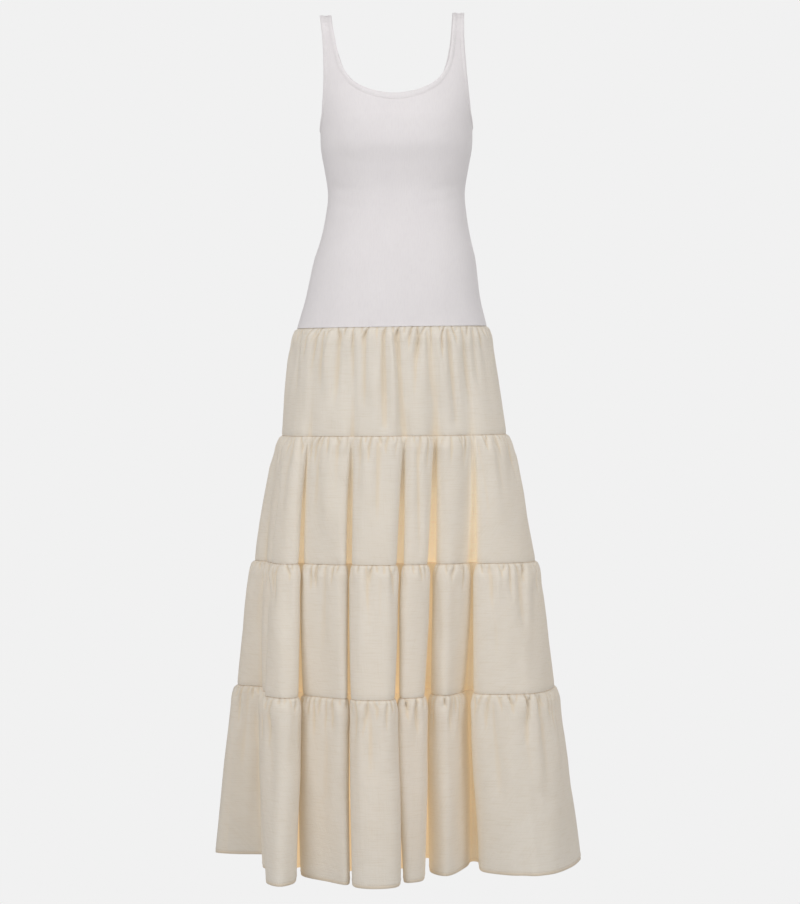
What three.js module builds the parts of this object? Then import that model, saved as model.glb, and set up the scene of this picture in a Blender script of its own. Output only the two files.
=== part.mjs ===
// Maxi dress in its worn form, empty: a jersey tank bodice to the hip, on a skirt of four gathered tiers.
// Millimetres, +Z up, front towards -Y, viewer's right at +X. The origin is the middle of the shoulders.
import * as THREE from "three";

// Cloth
const JERSEY_WALL = 1.5;
const LINEN_WALL = 1.5;
const BINDING_WALL = 2.4;
const BINDING_PROUD = 0.4; // how far a binding stands out from the jersey
const BINDING_CROWN = 0.5; // how much further its middle stands out
const SEAM_GAP = 0.3;
const NECK_BAND = { low: 12, strap: 7.5 };
const ARM_BAND = { low: 6.5, strap: 6.5 };
const JERSEY = { color: 0xe9e4e6, roughness: 0.9, metalness: 0 };
const LINEN = { color: 0xe6dccb, roughness: 0.95, metalness: 0 };

// Body sections: distance below the shoulder line, half width, and depth in front and behind
const ROUNDNESS = 2.3;
const SHOULDER_RADIUS = 45;
const BODY = [
  { down: 0, half: 162, front: 60, back: 52 },
  { down: 60, half: 152, front: 67, back: 68 },
  { down: 125, half: 141, front: 87, back: 86 },
  { down: 155, half: 136.5, front: 97, back: 91 },
  { down: 180, half: 133, front: 105, back: 92 },
  { down: 194, half: 131, front: 109, back: 91 },
  { down: 232, half: 129.5, front: 110, back: 87 },
  { down: 266, half: 123.5, front: 101, back: 80 },
  { down: 309, half: 117.5, front: 92, back: 76 },
  { down: 352, half: 122, front: 92, back: 84 },
  { down: 387, half: 129, front: 96, back: 96 },
  { down: 421, half: 138.5, front: 101, back: 106 },
  { down: 456, half: 144.5, front: 105, back: 113 },
  { down: 490, half: 150.5, front: 109, back: 117 },
  { down: 537, half: 163, front: 112, back: 118 },
];

// Edges of the bodice, from the centre line or the underarm up to the shoulder line
const NECKLINE = {
  front: [
    { x: 0, down: 149.6 },
    { x: 32, down: 145 },
    { x: 55, down: 136 },
    { x: 70, down: 126 },
    { x: 83, down: 109 },
    { x: 91, down: 91 },
    { x: 97, down: 62 },
    { x: 101, down: 32 },
    { x: 104, down: 0 },
  ],
  back: [
    { x: 0, down: 140 },
    { x: 30, down: 136.5 },
    { x: 57, down: 124 },
    { x: 76, down: 104 },
    { x: 88, down: 81 },
    { x: 96, down: 56 },
    { x: 101, down: 30 },
    { x: 104, down: 0 },
  ],
};
const ARMHOLE = {
  front: [
    { x: 131, down: 194 },
    { x: 128, down: 180 },
    { x: 125, down: 155 },
    { x: 122.5, down: 125 },
    { x: 121, down: 92 },
    { x: 120.5, down: 60 },
    { x: 121.5, down: 30 },
    { x: 124, down: 0 },
  ],
  back: [
    { x: 131, down: 194 },
    { x: 129, down: 181 },
    { x: 126.5, down: 155 },
    { x: 124, down: 125 },
    { x: 122, down: 92 },
    { x: 121.5, down: 60 },
    { x: 122, down: 30 },
    { x: 124, down: 0 },
  ],
};

// Skirt seams, from the hip seam to the hem: size of the oval, and the share of the hem's folds that it has
const SKIRT = [
  { down: 537, half: 163, front: 112, back: 118, fold: 0 },
  { down: 721, half: 193, front: 140, back: 144, fold: 0.22 },
  { down: 937, half: 241, front: 168, back: 178, fold: 0.6 },
  { down: 1151, half: 272, front: 222, back: 216, fold: 0.85 },
  { down: 1440, half: 313, front: 280, back: 262, fold: 1 },
];
const HEM = SKIRT[SKIRT.length - 1];

// Folds at the hem, in turn round the skirt from the viewer's left side seam. A pair is the distance across
// and the distance out from the side seams: where a fold starts, crests and ends, and the valley after it.
const FOLDS = {
  front: [
    { start: [-313, 0], crest: [-290, 12], end: [-250, 16], valley: [-226, 22] },
    { start: [-222, 55], crest: [-224, 100], end: [-219, 140], valley: [-192, 165] },
    { start: [-209, 255], crest: [-186, 286], end: [-165, 262], valley: [-160, 130] },
    { start: [-154, 200], crest: [-112, 245], end: [-79, 274], valley: [-73, 160] },
    { start: [-66, 290], crest: [-28, 304], end: [1, 288], valley: [7, 140] },
    { start: [14, 256], crest: [27, 253], end: [41, 240], valley: [50, 50] },
    { start: [57, 178], crest: [80, 203], end: [116, 125], valley: [130, 80] },
    { start: [140, 166], crest: [166, 188], end: [192, 197], valley: [207, 188] },
    { start: [224, 207], crest: [252, 190], end: [290, 128], valley: [310, 64] },
  ],
  back: [
    { start: [313, 0], crest: [305, 55], end: [284, 112], valley: [248, 118] },
    { start: [254, 186], crest: [224, 216], end: [188, 222], valley: [174, 118] },
    { start: [158, 230], crest: [122, 250], end: [86, 238], valley: [76, 124] },
    { start: [62, 246], crest: [20, 268], end: [-24, 258], valley: [-36, 138] },
    { start: [-50, 246], crest: [-84, 258], end: [-118, 236], valley: [-132, 112] },
    { start: [-148, 222], crest: [-186, 224], end: [-224, 190], valley: [-226, 98] },
    { start: [-264, 142], crest: [-290, 104], end: [-304, 62], valley: [-310, 28] },
  ],
};
const FOLD_POINTS = 5; // start, crest, end, and the two sides of the valley's floor
const VALLEY_FLOOR = 8;
const FLANK_SHARE = 0.12; // how much of a flank's depth counts as cloth along the oval
const SIDE_CROWDING = 8; // how late the folds near the sides move in towards the hip

// Columns of one fold: place along its points, share of the swell below a seam, and gather in or out
const UPPER_COLUMNS = [
  { at: 0, swell: 0.5, gather: -1 },
  { at: 0.33, swell: 1, gather: 1 },
  { at: 0.67, swell: 1, gather: -1 },
  { at: 1, swell: 1, gather: 1 },
  { at: 1.33, swell: 1, gather: -1 },
  { at: 1.67, swell: 1, gather: 1 },
  { at: 2, swell: 0.5, gather: -1 },
  { at: 3, swell: 0, gather: 0 },
  { at: 4, swell: 0, gather: 0 },
];
const FLANK_COLUMNS = [
  { at: 2.5, swell: 0.1, gather: 0 },
  { at: 4.5, swell: 0.1, gather: 0 },
];
const LOWER_COLUMNS = [...UPPER_COLUMNS, ...FLANK_COLUMNS].sort((a, b) => a.at - b.at);

// Rows of one tier: distance below its seam, swell of the cloth there, and depth of the gathers
const SWELL = 6;
const GATHER = 3.5;
const GATHER_ROOM = 12; // spacing of the columns under which the gathers are shallower
const TIER_ROWS = [
  { below: 0, swell: 0, gather: 0 },
  { below: 10, swell: 1, gather: 1 },
  { below: 60, swell: 0.75, gather: 0.35 },
];
const TIERS = [
  { columns: UPPER_COLUMNS, middle: [] },
  { columns: UPPER_COLUMNS, middle: [] },
  { columns: LOWER_COLUMNS, middle: [] },
  { columns: LOWER_COLUMNS, middle: [{ below: 165, swell: 0.9, gather: 0 }] },
];

// How the dress hangs in the photograph: shift to the side, roll and pitch at each height
const HANG = [
  { down: -10, shift: -7, roll: 0.02, pitch: 0 },
  { down: 0, shift: -7, roll: 0.02, pitch: 0 },
  { down: 150, shift: 0, roll: 0.02, pitch: 0 },
  { down: 360, shift: 0, roll: 0.015, pitch: 0.02 },
  { down: 537, shift: -7, roll: 0.015, pitch: 0.05 },
  { down: 721, shift: -3.5, roll: 0.008, pitch: 0.03 },
  { down: 937, shift: -2, roll: 0, pitch: 0 },
  { down: 1151, shift: -1, roll: 0, pitch: 0 },
  { down: 1450, shift: 2, roll: 0, pitch: 0 },
];

// Mesh density of the bodice
const BODY_ROWS = 9;
const EDGE_STATIONS = 10;
const HALF_COLUMNS = 6;

const { lerp, clamp, degToRad } = THREE.MathUtils;
const signedPower = (value, power) => Math.sign(value) * Math.abs(value) ** power;

// A table's row at a height, straight or on a smooth curve through the rows
function tableRow(table, down, smooth) {
  const last = table.length - 2;
  const found = table.findIndex((row) => row.down > down) - 1;
  const i = found < -1 ? last : clamp(found, 0, last);
  const [a, b] = [table[i], table[i + 1]];
  const [before, after] = [table[Math.max(i - 1, 0)], table[Math.min(i + 2, last + 1)]];
  const span = b.down - a.down;
  const t = clamp((down - a.down) / span, 0, 1);
  const row = {};
  for (const key of Object.keys(a)) {
    const slopeA = ((b[key] - before[key]) / (b.down - before.down)) * span;
    const slopeB = ((after[key] - a[key]) / (after.down - a.down)) * span;
    const curve =
      a[key] * (2 * t ** 3 - 3 * t ** 2 + 1) +
      slopeA * (t ** 3 - 2 * t ** 2 + t) +
      b[key] * (3 * t ** 2 - 2 * t ** 3) +
      slopeB * (t ** 3 - t ** 2);
    row[key] = smooth ? curve : lerp(a[key], b[key], t);
  }
  return row;
}

// Moves a point of the upright, even form to where the dress hangs
function hang(point) {
  const { shift, roll, pitch } = tableRow(HANG, -point.z, true);
  return new THREE.Vector3(point.x + shift, point.y, point.z + roll * point.x + pitch * point.y);
}

// A mesh that is one closed wall, from matching outer and inner points and the triangles of one face
function wallMesh(name, outer, inner, faces, look) {
  const count = outer.length;
  const edges = new Set(faces.flatMap(([a, b, c]) => [`${a} ${b}`, `${b} ${c}`, `${c} ${a}`]));
  const triangles = [];
  for (const [a, b, c] of faces) {
    triangles.push([a, b, c], [count + a, count + c, count + b]);
    for (const [p, q] of [[a, b], [b, c], [c, a]]) {
      if (!edges.has(`${q} ${p}`)) triangles.push([q, p, count + p], [q, count + p, count + q]);
    }
  }
  const points = [...outer, ...inner].map(hang);
  const cross = new THREE.Vector3();
  const volume = triangles.reduce(
    (sum, [a, b, c]) => sum + points[a].dot(cross.crossVectors(points[b], points[c])),
    0,
  );
  const ordered = volume > 0 ? triangles : triangles.map(([a, b, c]) => [a, c, b]);
  const geometry = new THREE.BufferGeometry().setFromPoints(points);
  geometry.setIndex(ordered.flat());
  geometry.computeVertexNormals();
  const mesh = new THREE.Mesh(geometry, new THREE.MeshStandardMaterial(look));
  mesh.name = name;
  return mesh;
}

// Triangles between the rows of a grid whose points are numbered by number(row, column)
function gridFaces(rows, columns, number) {
  const faces = [];
  for (let row = 0; row < rows; row++) {
    for (let column = 0; column < columns; column++) {
      const [a, b] = [number(row, column), number(row, column + 1)];
      const [c, d] = [number(row + 1, column + 1), number(row + 1, column)];
      faces.push([a, b, c], [a, c, d]);
    }
  }
  return faces;
}

// Body surface. A place is an angle from the centre line (90 at the side seam) and a run of cloth down from
// the shoulder line; side is -1 in front and 1 behind.
const ARCH_RUN = (SHOULDER_RADIUS * Math.PI) / 2;

function runAt(down) {
  if (down < SHOULDER_RADIUS) return SHOULDER_RADIUS * Math.acos(1 - down / SHOULDER_RADIUS);
  return ARCH_RUN + down - SHOULDER_RADIUS;
}

function bodyPoint(side, { angle, run }) {
  const turn = clamp(run / SHOULDER_RADIUS, -Math.PI / 2, Math.PI / 2);
  const below = Math.max(run - ARCH_RUN, 0);
  const down = SHOULDER_RADIUS * (1 - Math.cos(turn)) + below;
  const section = tableRow(BODY, down, true);
  const depth = (side < 0 ? section.front : section.back) * Math.sin(turn);
  const radians = degToRad(angle);
  const x = section.half * signedPower(Math.sin(radians), 2 / ROUNDNESS);
  return new THREE.Vector3(x, side * depth * signedPower(Math.cos(radians), 2 / ROUNDNESS), -down);
}

function bodySlopes(side, { angle, run }) {
  const step = 0.5;
  const [left, right] = [-step, step].map((by) => bodyPoint(side, { angle: angle + by, run }));
  const [above, below] = [-step, step].map((by) => bodyPoint(side, { angle, run: run + by }));
  const across = right.sub(left).divideScalar(2 * step);
  const along = below.sub(above).divideScalar(2 * step);
  return { across, along };
}

function bodyNormal(side, place) {
  const { across, along } = bodySlopes(side, place);
  return across.cross(along).multiplyScalar(side).normalize();
}

// The place a distance in from an edge, square to the edge's direction on the cloth
function stepIn(side, place, direction, distance) {
  const { across, along } = bodySlopes(side, place);
  const [aa, ab, bb] = [across.dot(across), across.dot(along), along.dot(along)];
  const angle = ab * direction.angle + bb * direction.run;
  const run = -(aa * direction.angle + ab * direction.run);
  const size = Math.sqrt(aa * angle ** 2 + 2 * ab * angle * run + bb * run ** 2);
  return { angle: place.angle + (angle / size) * distance, run: place.run + (run / size) * distance };
}

// Stations along an edge, each with the places across its binding and the panel's edge beyond it
function edgeStations(side, table, band, startAngle) {
  const places = table.map(({ x, down }) => {
    const { half } = tableRow(BODY, down, true);
    const sine = clamp((x / half) ** (ROUNDNESS / 2), 0, 1);
    return new THREE.Vector3(THREE.MathUtils.radToDeg(Math.asin(sine)), runAt(down), 0);
  });
  const before = new THREE.Vector3(2 * startAngle - places[1].x, places[1].y, 0);
  const beyond = places[places.length - 2].clone().setY(-places[places.length - 2].y);
  const curve = new THREE.CatmullRomCurve3([before, ...places, beyond]);
  const first = 1 / (places.length + 1);
  const inward = startAngle === 0 ? 1 : -1;
  const stations = [];
  for (let i = 0; i <= EDGE_STATIONS; i++) {
    const share = i / EDGE_STATIONS;
    const t = lerp(first, 1 - first, share);
    const at = curve.getPoint(t);
    const ahead = curve.getTangent(t).multiplyScalar(-inward);
    const place = { angle: at.x, run: at.y };
    const direction = { angle: -ahead.x, run: -ahead.y };
    const width = lerp(band.low, band.strap, Math.min(share * 2, 1));
    const inset = (distance) => stepIn(side, place, direction, -distance);
    stations.push({
      band: [place, inset(width / 2), inset(width)],
      panel: inset(width + SEAM_GAP),
    });
  }
  return stations;
}

const SIDES = { front: -1, back: 1 };
const stationsOf = {};
for (const [face, side] of Object.entries(SIDES)) {
  stationsOf[face] = {
    neck: edgeStations(side, NECKLINE[face], NECK_BAND, 0),
    arm: edgeStations(side, ARMHOLE[face], ARM_BAND, 90),
  };
}

// Half a bodice panel in rows from the hip seam to the shoulder, each from the inner edge to the outer edge
function halfPanelRows(face) {
  const { neck, arm } = stationsOf[face];
  const hip = runAt(SKIRT[0].down - SEAM_GAP / 2);
  const rows = [];
  for (let i = 0; i <= BODY_ROWS + EDGE_STATIONS; i++) {
    const up = Math.min(i / BODY_ROWS, 1);
    const station = Math.max(i - BODY_ROWS, 0);
    const inner = i < BODY_ROWS ? { angle: 0, run: lerp(hip, neck[0].panel.run, up) } : neck[station].panel;
    const outer = i < BODY_ROWS ? { angle: 90, run: lerp(hip, arm[0].panel.run, up) } : arm[station].panel;
    const row = [];
    for (let j = 0; j <= HALF_COLUMNS; j++) {
      const t = j / HALF_COLUMNS;
      row.push({ angle: lerp(inner.angle, outer.angle, t), run: lerp(inner.run, outer.run, t) });
    }
    rows.push(row);
  }
  return rows;
}

function bodicePanel(face) {
  const side = SIDES[face];
  const rows = halfPanelRows(face);
  const [outer, inner, faces] = [[], [], []];
  const clear = (point) => point.setY(side * Math.max(side * point.y, SEAM_GAP / 2));
  const width = HALF_COLUMNS + 1;
  const halfSize = rows.length * width;
  for (const mirror of [1, -1]) {
    for (const [i, row] of rows.entries()) {
      for (const place of row) {
        const point = bodyPoint(side, place);
        const normal = bodyNormal(side, place);
        if (i === 0) normal.setZ(0).normalize();
        const turned = new THREE.Vector3(mirror, 1, 1);
        outer.push(clear(point.clone()).multiply(turned));
        inner.push(clear(point.clone().addScaledVector(normal, -JERSEY_WALL)).multiply(turned));
      }
    }
    const first = mirror > 0 ? 0 : halfSize;
    const shared = (row, column) => (row <= BODY_ROWS && column === 0 ? 0 : first) + row * width + column;
    const half = gridFaces(rows.length - 1, HALF_COLUMNS, shared);
    faces.push(...(mirror > 0 ? half : half.map(([a, b, c]) => [a, c, b])));
  }
  const used = [...new Set(faces.flat())].sort((a, b) => a - b);
  const renumber = new Map(used.map((old, now) => [old, now]));
  return wallMesh(
    `bodice_${face}`,
    used.map((i) => outer[i]),
    used.map((i) => inner[i]),
    faces.map((triangle) => triangle.map((i) => renumber.get(i))),
    JERSEY,
  );
}

// A binding as a closed band through stations of [side, mirror, places across]
function bindingLoop(name, loop) {
  const [outer, inner] = [[], []];
  for (const { side, mirror, places } of loop) {
    places.forEach((place, j) => {
      const proud = BINDING_PROUD + (j === 1 ? BINDING_CROWN : 0);
      const normal = bodyNormal(side, place);
      const turned = new THREE.Vector3(mirror, 1, 1);
      const point = bodyPoint(side, place);
      outer.push(point.clone().addScaledVector(normal, proud).multiply(turned));
      inner.push(point.clone().addScaledVector(normal, BINDING_PROUD - BINDING_WALL).multiply(turned));
    });
  }
  const faces = gridFaces(loop.length, 2, (row, column) => (row % loop.length) * 3 + column);
  return wallMesh(name, outer, inner, faces, JERSEY);
}

function bindingStations(edge, face, mirror) {
  return stationsOf[face][edge].map(({ band }) => ({ side: SIDES[face], mirror, places: band }));
}

function neckBinding() {
  const right = [
    ...bindingStations("neck", "front", 1),
    ...bindingStations("neck", "back", 1).reverse().slice(1),
  ];
  const left = [
    ...bindingStations("neck", "back", -1).slice(1),
    ...bindingStations("neck", "front", -1).reverse().slice(1, -1),
  ];
  return bindingLoop("neck_binding", [...right, ...left]);
}

function armholeBinding(name, mirror) {
  const front = bindingStations("arm", "front", mirror);
  const back = bindingStations("arm", "back", mirror).reverse();
  return bindingLoop(name, [...front, ...back.slice(1, -1)]);
}

// Closed curve of the hem, seen from above, with y to the front as a negative number
function foldPath() {
  const rows = [...FOLDS.front, ...FOLDS.back].map((row, i) => {
    const side = i < FOLDS.front.length ? -1 : 1;
    const point = ([x, out]) => new THREE.Vector3(x, side * out, 0);
    const [start, crest, end, valley] = [row.start, row.crest, row.end, row.valley].map(point);
    return { start, crest, end, valley };
  });
  const points = rows.flatMap((row, i) => {
    const next = rows[(i + 1) % rows.length].start;
    const into = row.valley.clone().sub(row.end).normalize();
    const floor = next.clone().sub(row.valley).normalize().add(into).setLength(VALLEY_FLOOR / 2);
    return [row.start, row.crest, row.end, row.valley.clone().sub(floor), row.valley.clone().add(floor)];
  });
  return new THREE.CatmullRomCurve3(points, true);
}

const FOLD_PATH = foldPath();
const FOLD_COUNT = FOLDS.front.length + FOLDS.back.length;

// Share of the oval's front or back half that lies before each of the path's points
function ovalShares() {
  const shares = { front: [0], back: [0] };
  const points = FOLD_PATH.points;
  points.forEach((point, i) => {
    const face = i < FOLDS.front.length * FOLD_POINTS ? "front" : "back";
    const next = points[(i + 1) % points.length];
    const list = shares[face];
    list.push(list[list.length - 1] + Math.hypot(next.x - point.x, FLANK_SHARE * (next.y - point.y)));
  });
  const even = (list) => list.map((length) => length / list[list.length - 1]);
  return { front: even(shares.front), back: even(shares.back) };
}

const OVAL_SHARES = ovalShares();

// One point of the skirt's fold path, with what each height needs to place it
function skirtColumn(fold, { at, swell, gather }) {
  const face = fold < FOLDS.front.length ? "front" : "back";
  const index = fold * FOLD_POINTS + at;
  const point = FOLD_PATH.getPoint(index / (FOLD_COUNT * FOLD_POINTS));
  const inFace = index - (face === "front" ? 0 : FOLDS.front.length * FOLD_POINTS);
  const shares = OVAL_SHARES[face];
  const whole = Math.floor(inFace);
  const share = lerp(shares[whole], shares[whole + 1], inFace - whole);
  const out = ovalDepth(HEM, face, point.x);
  return {
    face,
    swell,
    gather,
    x: clamp(point.x, -HEM.half, HEM.half),
    angle: (face === "front" ? 1 : -1) * lerp(-90, 90, share),
    reach: out > 0 ? Math.abs(point.y) / out : 1,
  };
}

function ovalDepth(section, face, x) {
  const across = clamp(Math.abs(x) / section.half, 0, 1);
  return section[face] * (1 - across ** ROUNDNESS) ** (1 / ROUNDNESS);
}

function skirtPoint(column, section) {
  const narrowing = section.half / HEM.half;
  const across = Math.abs(column.x) / HEM.half;
  const crowded = (1 + across ** SIDE_CROWDING * (narrowing ** -SIDE_CROWDING - 1)) ** (-1 / SIDE_CROWDING);
  const onOval = section.half * signedPower(Math.sin(degToRad(column.angle)), 2 / ROUNDNESS);
  const x = lerp(onOval, column.x * crowded, Math.sqrt(section.fold));
  const out = ovalDepth(section, column.face, x) * lerp(1, column.reach, section.fold);
  return new THREE.Vector3(x, SIDES[column.face] * out, -section.down);
}

// Direction of a closed ring at one of its points, halfway between the two sides that meet there
function ringDirection(ring, i) {
  const into = ring[i].clone().sub(ring[(i + ring.length - 1) % ring.length]).normalize();
  return ring[(i + 1) % ring.length].clone().sub(ring[i]).normalize().add(into).normalize();
}

// One ring of a tier, moved out by the swell and the gathers square to its own line
function skirtRing(columns, section, row) {
  const ring = columns.map((column) => skirtPoint(column, section));
  return ring.map((point, i) => {
    const along = ringDirection(ring, i);
    const spacing = ring[(i + 1) % ring.length].distanceTo(point);
    const room = clamp(spacing / GATHER_ROOM, 0, 1) ** 2;
    const move = SWELL * row.swell * columns[i].swell + GATHER * room * row.gather * columns[i].gather;
    return new THREE.Vector3(point.x + along.y * move, point.y - along.x * move, point.z);
  });
}

// Outward direction at each point of a closed grid of rings, level at the top and bottom rings
function ringNormals(rings) {
  return rings.map((ring, r) =>
    ring.map((point, i) => {
      const down = rings[Math.min(r + 1, rings.length - 1)][i].clone().sub(rings[Math.max(r - 1, 0)][i]);
      const normal = down.cross(ringDirection(ring, i)).normalize();
      return r === 0 || r === rings.length - 1 ? normal.setZ(0).normalize() : normal;
    }),
  );
}

function tierPanels(tier) {
  const { columns: perFold, middle } = TIERS[tier];
  const [top, bottom] = [SKIRT[tier], SKIRT[tier + 1]];
  const height = bottom.down - top.down;
  const columns = [];
  for (let fold = 0; fold < FOLD_COUNT; fold++) {
    for (const column of perFold) columns.push(skirtColumn(fold, column));
  }
  const rows = [...TIER_ROWS, ...middle, { below: height, swell: 0, gather: 0 }];
  const rings = rows.map((row) => {
    const section = tableRow([top, bottom], top.down + row.below, false);
    section.down += SEAM_GAP * (0.5 - row.below / height);
    return skirtRing(columns, section, row);
  });
  const normals = ringNormals(rings);
  const inside = rings.map((ring, r) =>
    ring.map((point, i) => point.clone().addScaledVector(normals[r][i], -LINEN_WALL)),
  );
  const seam = FOLDS.front.length * perFold.length;
  const spans = { front: [0, seam], back: [seam, columns.length] };
  return Object.entries(spans).map(([face, [from, to]]) => {
    const side = SIDES[face];
    const width = to - from + 1;
    const cut = (grid) =>
      grid.flatMap((ring) =>
        Array.from({ length: width }, (_, j) => {
          const point = ring[(from + j) % ring.length].clone();
          if (j === 0 || j === width - 1) point.y = (side * SEAM_GAP) / 2;
          return point;
        }),
      );
    const faces = gridFaces(rings.length - 1, width - 1, (row, column) => row * width + column);
    return wallMesh(`tier_${tier + 1}_${face}`, cut(rings), cut(inside), faces, LINEN);
  });
}

const dress = new THREE.Group();
dress.add(bodicePanel("front"), bodicePanel("back"));
dress.add(neckBinding());
dress.add(armholeBinding("armhole_binding_right", -1), armholeBinding("armhole_binding_left", 1));
TIERS.forEach((_, tier) => dress.add(...tierPanels(tier)));

export default dress;
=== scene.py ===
"""Looks of a maxi dress: a white jersey tank bodice on a cream skirt of four gathered tiers, with no wearer.

Sizes are millimetres in the part's own frame until add_piece turns them into metres.
+Z is up and the front faces -Y. Angles round the body are degrees.
"""
import math

import bpy
import numpy as np
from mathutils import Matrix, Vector


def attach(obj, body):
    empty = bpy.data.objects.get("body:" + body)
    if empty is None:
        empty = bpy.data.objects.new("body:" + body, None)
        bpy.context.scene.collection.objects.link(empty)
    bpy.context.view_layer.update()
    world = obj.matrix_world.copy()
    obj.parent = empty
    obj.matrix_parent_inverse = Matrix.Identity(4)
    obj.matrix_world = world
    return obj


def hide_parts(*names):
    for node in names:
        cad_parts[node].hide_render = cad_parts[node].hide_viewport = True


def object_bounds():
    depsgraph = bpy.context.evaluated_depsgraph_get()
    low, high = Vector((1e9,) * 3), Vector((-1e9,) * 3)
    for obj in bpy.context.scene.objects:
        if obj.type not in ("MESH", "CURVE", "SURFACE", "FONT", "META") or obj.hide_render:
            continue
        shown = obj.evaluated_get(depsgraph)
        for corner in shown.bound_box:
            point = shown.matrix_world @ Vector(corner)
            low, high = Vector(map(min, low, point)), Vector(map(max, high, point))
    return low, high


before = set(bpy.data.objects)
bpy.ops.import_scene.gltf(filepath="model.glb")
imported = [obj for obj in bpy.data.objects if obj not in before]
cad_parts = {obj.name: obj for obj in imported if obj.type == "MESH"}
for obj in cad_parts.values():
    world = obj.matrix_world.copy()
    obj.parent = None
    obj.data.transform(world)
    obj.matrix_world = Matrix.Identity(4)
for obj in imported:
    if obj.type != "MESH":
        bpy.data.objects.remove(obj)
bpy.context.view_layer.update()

MM = 0.001


def table(columns, rows):
    """A short table as one array for each named column."""
    return dict(zip(columns.split(), np.array(rows, float).T))


# Body sections: distance below the shoulder line, half width, and depth in front and behind
ROUNDNESS = 2.3
SHOULDER_RADIUS = 45
ARCH_RUN = SHOULDER_RADIUS * math.pi / 2
BODY = table("down half front back", [
    (0, 162, 60, 52),
    (60, 152, 67, 68),
    (125, 141, 87, 86),
    (155, 136.5, 97, 91),
    (180, 133, 105, 92),
    (194, 131, 109, 91),
    (232, 129.5, 110, 87),
    (266, 123.5, 101, 80),
    (309, 117.5, 92, 76),
    (352, 122, 92, 84),
    (387, 129, 96, 96),
    (421, 138.5, 101, 106),
    (456, 144.5, 105, 113),
    (490, 150.5, 109, 117),
    (537, 163, 112, 118),
])

# Edges of the bodice, from the centre line or the underarm up to the shoulder line
NECKLINE = {
    "front": table("x down", [
        (0, 149.6), (32, 145), (55, 136), (70, 126), (83, 109), (91, 91), (97, 62), (101, 32), (104, 0),
    ]),
    "back": table("x down", [
        (0, 140), (30, 136.5), (57, 124), (76, 104), (88, 81), (96, 56), (101, 30), (104, 0),
    ]),
}
ARMHOLE = {
    "front": table("x down", [
        (131, 194), (128, 180), (125, 155), (122.5, 125), (121, 92), (120.5, 60), (121.5, 30), (124, 0),
    ]),
    "back": table("x down", [
        (131, 194), (129, 181), (126.5, 155), (124, 125), (122, 92), (121.5, 60), (122, 30), (124, 0),
    ]),
}
NECK_BAND = {"low": 12, "strap": 7.5}
ARM_BAND = {"low": 6.5, "strap": 6.5}
BINDING_WALL = 2.4
BINDING_PROUD = 0.4
BINDING_CROWN = 0.5
SEAM_GAP = 0.3

# Skirt seams, from the hip seam to the hem: size of the oval, and the share of the hem's folds that it has
SKIRT = table("down half front back fold", [
    (537, 163, 112, 118, 0),
    (721, 193, 140, 144, 0.22),
    (937, 241, 168, 178, 0.6),
    (1151, 272, 222, 216, 0.85),
    (1440, 313, 280, 262, 1),
])
HEM = {name: values[-1] for name, values in SKIRT.items()}

# Folds at the hem, in turn round the skirt from the viewer's left side seam: where each starts, crests and
# ends, and the valley after it, as the distance across and the distance out from the side seams
FOLD_COLUMNS = "start_x start_out crest_x crest_out end_x end_out valley_x valley_out"
FOLDS = {
    "front": table(FOLD_COLUMNS, [
        (-313, 0, -290, 12, -250, 16, -226, 22),
        (-222, 55, -224, 100, -219, 140, -192, 165),
        (-209, 255, -186, 286, -165, 262, -160, 130),
        (-154, 200, -112, 245, -79, 274, -73, 160),
        (-66, 290, -28, 304, 1, 288, 7, 140),
        (14, 256, 27, 253, 41, 240, 50, 50),
        (57, 178, 80, 203, 116, 125, 130, 80),
        (140, 166, 166, 188, 192, 199, 207, 199),
        (224, 203, 252, 190, 290, 128, 310, 64),
    ]),
    "back": table(FOLD_COLUMNS, [
        (313, 0, 305, 55, 284, 112, 248, 118),
        (254, 186, 224, 216, 188, 222, 174, 118),
        (158, 230, 122, 250, 86, 238, 76, 124),
        (62, 246, 20, 268, -24, 258, -36, 138),
        (-50, 246, -84, 258, -118, 236, -132, 112),
        (-148, 222, -186, 224, -224, 190, -226, 98),
        (-264, 142, -290, 104, -304, 62, -310, 28),
    ]),
}
FOLD_POINTS = 5  # start, crest, end, and the two sides of the valley's floor
FRONT_POINTS = FOLD_POINTS * len(FOLDS["front"]["start_x"])
BACK_POINTS = FOLD_POINTS * len(FOLDS["back"]["start_x"])
VALLEY_FLOOR = 8
FLANK_SHARE = 0.12
SIDE_CROWDING = 8

# Share of the gathers, and of the swell below a seam, at places along one fold. On the flanks of a fold the
# swell narrows the valley, and the last column says how much of it there depends on the valley's width.
FOLD_WEIGHTS = table("at gather swell flank", [
    (0, 0.8, 1, 1),
    (0.33, 1, 1, 0),
    (1.67, 1, 1, 0),
    (2, 0.8, 1, 1),
    (2.4, 0.25, 1, 1),
    (2.8, 0, 0.15, 1),
    (3, 0, 0, 1),
    (4, 0, 0, 1),
    (4.2, 0, 0.15, 1),
    (4.6, 0.25, 1, 1),
    (5, 0.8, 1, 1),
])
VALLEY_MOUTH = (2.2, 4.8)  # places on both sides of a valley's mouth
MOUTH_SHARE = 0.3  # how much of the mouth the swell of one side may take
SHALLOW = 45  # valleys less deep than this count as part of a crest

# Swell of the cloth below a seam, and its shape down a tier
SWELL = 6
SWELL_TOP = 24
SWELL_FALL = {"upper": 0.75, "lowest": 0.9}
SWELL_END = {"above": 8, "share": 0.12}  # what is left of it just above the lower edge

# How the dress hangs: shift to the side, roll and pitch at each height
HANG = table("down shift roll pitch", [
    (-10, -7, 0.02, 0),
    (0, -7, 0.02, 0),
    (150, 0, 0.02, 0),
    (360, 0, 0.015, 0.02),
    (537, -7, 0.015, 0.05),
    (721, -3.5, 0.008, 0.03),
    (937, -2, 0, 0),
    (1151, -1, 0, 0),
    (1450, 2, 0, 0),
])

SIDES = {"front": -1, "back": 1}


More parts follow.
